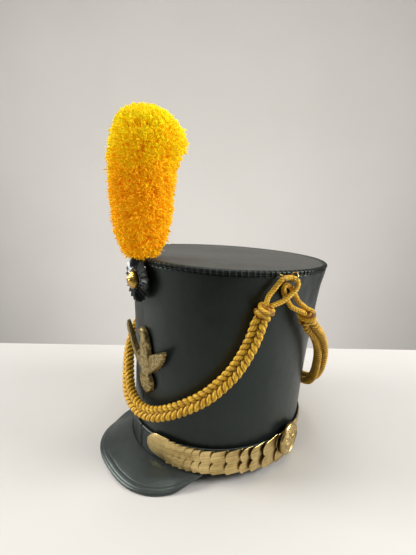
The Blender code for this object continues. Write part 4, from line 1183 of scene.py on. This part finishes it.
def eagle_relief(x, y, inside):
    """Height of the relief over the plate: breast, head, the feathers of the wings and the tail."""
    u, v = x / EAGLE_WIDTH, y / EAGLE_HEIGHT
    wing = ease(0.10, 0.17, np.abs(u - 0.01)) * ease(-0.20, -0.12, v)
    fan = np.degrees(np.arctan2(v + 0.30, np.where(u > 0, u - 0.04, -(u + 0.02))))
    reach = np.hypot(u, v + 0.2)
    feather = 0.0011 * ridges(fan / 7.5, 0.8) * ease(0.12, 0.3, reach)
    barbs = 0.00025 * ridges(reach * 34 + fan / 5)
    covert = 0.0010 * soft(reach - 0.33, 0.10) * ridges(fan / 10 + 0.5, 0.6)
    bone = 0.0012 * soft(np.where(u > 0, v - (0.10 + 0.48 * (u - 0.1)), v - (0.10 - 1.08 * (u + 0.17))), 0.09)
    height = wing * (0.0010 + feather + barbs + covert + bone)
    breast = np.sqrt(np.clip(1 - ((u - 0.005) / 0.135) ** 2 - ((v - 0.02) / 0.25) ** 2, 0, 1))
    feathers = 0.0004 * ridges(u * 26 + v * 9) * ridges(v * 22 - u * 7) * (breast > 0)
    height = np.maximum(height, 0.0042 * breast + feathers)
    neck = np.sqrt(np.clip(1 - ((u + 0.02 - 0.10 * (v - 0.3)) / 0.09) ** 2 - ((v - 0.28) / 0.16) ** 2, 0, 1))
    height = np.maximum(height, 0.0036 * neck + 0.0003 * ridges(u * 40) * (neck > 0))
    head = np.sqrt(np.clip(1 - ((u + 0.05) / 0.085) ** 2 - ((v - 0.42) / 0.085) ** 2, 0, 1))
    height = np.maximum(height, 0.0036 * head)
    height = height - 0.0012 * soft(np.hypot(u + 0.055, v - 0.435), 0.022)
    beak = soft(v - 0.435, 0.035) * ease(-0.10, -0.13, u)
    height = np.maximum(height, 0.0022 * beak)
    tail = ease(-0.16, -0.22, v)
    rays = np.degrees(np.arctan2(u - 0.01, -(v + 0.02)))
    height = np.maximum(height, tail * (0.0012 + 0.0012 * ridges(rays / 8.5, 0.8) + 0.0002 * ridges(v * 60)))
    legs = soft(np.abs(u - 0.01) - 0.085, 0.04) * soft(v + 0.20, 0.08)
    height = np.maximum(height, 0.0030 * legs)
    rounded = np.sqrt(np.clip(inside / 0.0013, 0, 1))
    return rounded * (0.0012 + 0.85 * height)


def make_eagle():
    outline = eagle_outline()
    pitch = 0.00072
    low, high = outline.min(axis=0), outline.max(axis=0)
    gx, gy = np.meshgrid(np.arange(low[0], high[0], pitch), np.arange(low[1], high[1], pitch))
    gx = gx + (np.arange(gx.shape[0])[:, None] % 2) * pitch / 2
    spots = np.stack([gx.ravel(), gy.ravel()], axis=1)
    nxt = np.roll(outline, -1, axis=0)
    crossing = ((outline[None, :, 1] > spots[:, None, 1]) != (nxt[None, :, 1] > spots[:, None, 1]))
    slope = (nxt[:, 0] - outline[:, 0]) / (nxt[:, 1] - outline[:, 1] + 1e-15)
    hit = outline[None, :, 0] + (spots[:, None, 1] - outline[None, :, 1]) * slope[None]
    within = ((crossing & (spots[:, None, 0] < hit)).sum(axis=1) % 2) == 1
    spots = spots[within]
    near = np.linalg.norm(spots[:, None] - outline[None], axis=2).min(axis=1)
    spots = spots[near > pitch * 0.55]
    everything = np.concatenate([outline, spots])
    verts, _, tris, origins, _, _ = delaunay_2d_cdt(
        [Vector(p) for p in everything], [], [list(range(len(outline)))], 1, 1e-7)
    flat = np.array([tuple(v) for v in verts])
    tris = np.array([t for t in tris if len(t) == 3])
    inside = np.linalg.norm(flat[:, None] - outline[None], axis=2).min(axis=1)
    border = [None] * len(outline)
    for index, sources in enumerate(origins):
        for source in sources:
            if source < len(outline):
                border[source] = index
    inside[border] = 0.0
    height = eagle_relief(flat[:, 0], flat[:, 1], inside)
    front = np.column_stack([flat, height])
    back = np.column_stack([flat, np.full(len(flat), -0.0010)])
    total = len(flat)
    b = np.array(border)
    b2 = np.roll(b, -1)
    ccw = np.sum(outline[:, 0] * nxt[:, 1] - outline[:, 1] * nxt[:, 0]) > 0
    a, c = flat[tris[:, 1]] - flat[tris[:, 0]], flat[tris[:, 2]] - flat[tris[:, 0]]
    up = (a[:, 0] * c[:, 1] - a[:, 1] * c[:, 0]) > 0
    tris = np.where(up[:, None], tris, tris[:, ::-1])
    wall_quads = np.stack([b, b + total, b2 + total, b2], axis=-1)
    if not ccw:
        wall_quads = wall_quads[:, ::-1]
    place = wall_frame(*EAGLE_PLACE)
    points = moved(place, np.concatenate([front, back]))
    uv = np.concatenate([flat, flat])
    make("eagle_plate_fine", points, [tris, tris[:, ::-1] + total, wall_quads], EAGLE_BRASS,
         ["eagle_plate"], uv=uv, sharp=55)


make_eagle()


# Plume

PLUME_FOOT, PLUME_ALONG, PLUME_HEIGHT = 0.2178, -0.0955, 0.1364
PLUME_ROWS = np.array([
    (0.000, -0.006, 0.000, 0.105), (0.045, -0.010, 0.002, 0.140), (0.150, -0.006, 0.002, 0.186),
    (0.300, -0.004, 0.006, 0.212), (0.450, -0.006, 0.008, 0.224), (0.600, -0.004, 0.012, 0.234),
    (0.700, 0.010, 0.028, 0.252), (0.760, 0.026, 0.052, 0.270), (0.840, 0.024, 0.046, 0.244),
    (0.920, 0.016, 0.030, 0.182), (0.980, 0.008, 0.020, 0.084), (1.000, 0.008, 0.020, 0.004),
])
TUFT_STRANDS = 9
# Painted shade: strands are deeper orange at root and middle than at the tip, where the pile shades them.
SHADED_ROOT_YELLOW, HALF_SHADED_YELLOW = (0.84, 0.40, 0.001), (0.98, 0.52, 0.002)
LOW_TIP, HIGH_TIP = np.array([1.0, 0.56, 0.003]), np.array([1.0, 0.76, 0.014])


def plume_points(share, turn, scale=1.0):
    across, along, radius = (np.interp(share, PLUME_ROWS[:, 0], PLUME_ROWS[:, k]) for k in (1, 2, 3))
    x = PLUME_X + PLUME_HEIGHT * (across + scale * radius * np.cos(turn))
    y = PLUME_ALONG + PLUME_HEIGHT * (along + scale * radius * np.sin(turn))
    return np.stack(np.broadcast_arrays(x, y, PLUME_FOOT + PLUME_HEIGHT * share), axis=-1)


def make_plume_core(share):
    """The dark orange-yellow body under the pile, a little lumpy; its darker colour is painted shade."""
    turn = np.linspace(0, 2 * pi, 72, endpoint=False)
    grid = plume_points(share[:, None], turn[None, :], 0.84)
    lumps = np.sin(7 * turn[None, :] + 21 * share[:, None]) * np.sin(3 * turn[None, :] - 17 * share[:, None])
    axis = plume_points(share, 0.0, 0.0)[:, None]
    points, faces = capped(axis + (grid - axis) * (1 + 0.04 * lumps[..., None]), axis[[0, -1], 0])
    # painted shade: the core under the pile is painted darker orange than the strands
    shade_colour = np.tile([0.80, 0.30, 0.002], (len(points), 1))
    make("plume_core", points, [f[:, ::-1] for f in faces], WOOL, ["plume"], tint=shade_colour)


def tuft_roots(share, tufts):
    """Where each tuft grows: its share of the height, its root, the skin over it and the way it leans."""
    weights = np.interp(share, PLUME_ROWS[:, 0], PLUME_ROWS[:, 3]) + 0.02 + 0.25 * (share > 0.86)
    spot = rng.choice(share, tufts, p=weights / weights.sum()) + rng.uniform(-0.008, 0.008, tufts)
    spot = np.clip(spot, 0.012, 0.995)
    way = rng.uniform(0, 2 * pi, tufts)
    root, skin = plume_points(spot, way, 0.70), plume_points(spot, way, 1.0)
    rise = unit(plume_points(np.minimum(spot + 0.02, 1), way) - plume_points(np.maximum(spot - 0.02, 0), way))
    round_way = np.stack([-np.sin(way), np.cos(way), 0 * way], axis=1)
    normal = unit(np.cross(round_way, rise))
    fan = unit(skin - plume_points(np.full(tufts, 0.80), way, 0.0))
    blend = ease(0.55, 0.80, spot)[:, None]
    upward = np.array([0, 0, 1.0]) * (0.10 + 0.55 * blend)
    lean = unit(normal * 0.95 + upward + rng.normal(0, 0.30, (tufts, 3)))
    return spot, root, skin, unit(lean * (1 - 0.5 * blend) + fan * 0.5 * blend)


def strand_faces(count):
    """The faces of three-sided strands of three rings and a tip each."""
    base = np.arange(count)[:, None] * 10
    quads = [base + np.array([ring + k, ring + (k + 1) % 3, ring + 3 + (k + 1) % 3, ring + 3 + k])
             for ring in (0, 3) for k in range(3)]
    caps = [base + np.array([6 + k, 6 + (k + 1) % 3, 9]) for k in range(3)]
    return [np.concatenate(quads), np.concatenate(caps)]


def make_pile(label, share, tufts):
    spot, root, skin, lean = tuft_roots(share, tufts)
    tone = rng.uniform(0, 1, tufts)
    per = np.repeat(np.arange(tufts), TUFT_STRANDS)
    count = len(per)
    start = root[per] + rng.normal(0, 0.0014, (count, 3))
    tip_way = unit(lean[per] + rng.normal(0, 0.22, (count, 3)))
    length = np.linalg.norm(skin - root, axis=1)[per] * rng.uniform(0.87, 0.97, count)
    middle = start + tip_way * (length * 0.62)[:, None] + rng.normal(0, 0.0010, (count, 3))
    tip = start + tip_way * length[:, None]
    frame_a = unit(np.cross(tip_way, rng.normal(0, 1, (count, 3))))
    frame_b = np.cross(tip_way, frame_a)
    thick = rng.uniform(0.00046, 0.00074, count)
    bright = 0.55 * tone[per] + 0.45 * rng.uniform(0, 1, count)
    tip_colour = LOW_TIP + (HIGH_TIP - LOW_TIP) * bright[:, None]
    rings = ((start, 1.0, np.tile(SHADED_ROOT_YELLOW, (count, 1))),
             (middle, 1.15, np.tile(HALF_SHADED_YELLOW, (count, 1))), (tip, 0.85, tip_colour))
    points, tints = [], []
    for centre, size, colour in rings:
        for k in range(3):
            a, b = cos(2 * pi * k / 3), sin(2 * pi * k / 3)
            points.append(centre + (thick * size)[:, None] * (a * frame_a + b * frame_b))
            tints.append(colour)
    points.append(tip + tip_way * (thick * 0.9)[:, None])
    tint = np.stack([*tints, tip_colour], axis=1)
    # Painted shade and light: lower on the plume the strands are more orange, higher up yellower, as light
    # falls from above.
    tint[..., 1] *= (0.92 + 0.42 * ease(0.42, 0.95, spot))[per][:, None]
    make(f"plume_pile_{label}", np.stack(points, axis=1), strand_faces(count), WOOL,
         tint=np.minimum(tint, 1.0).reshape(-1, 3))


def make_plume():
    share = np.linspace(0.02, 0.985, 60)
    make_plume_core(share)
    for label, low, high, tufts in (("lower", 0.0, 0.52, 1240), ("upper", 0.52, 1.0, 1320)):
        make_pile(label, share[(share >= low) & (share < high)], tufts)


make_plume()
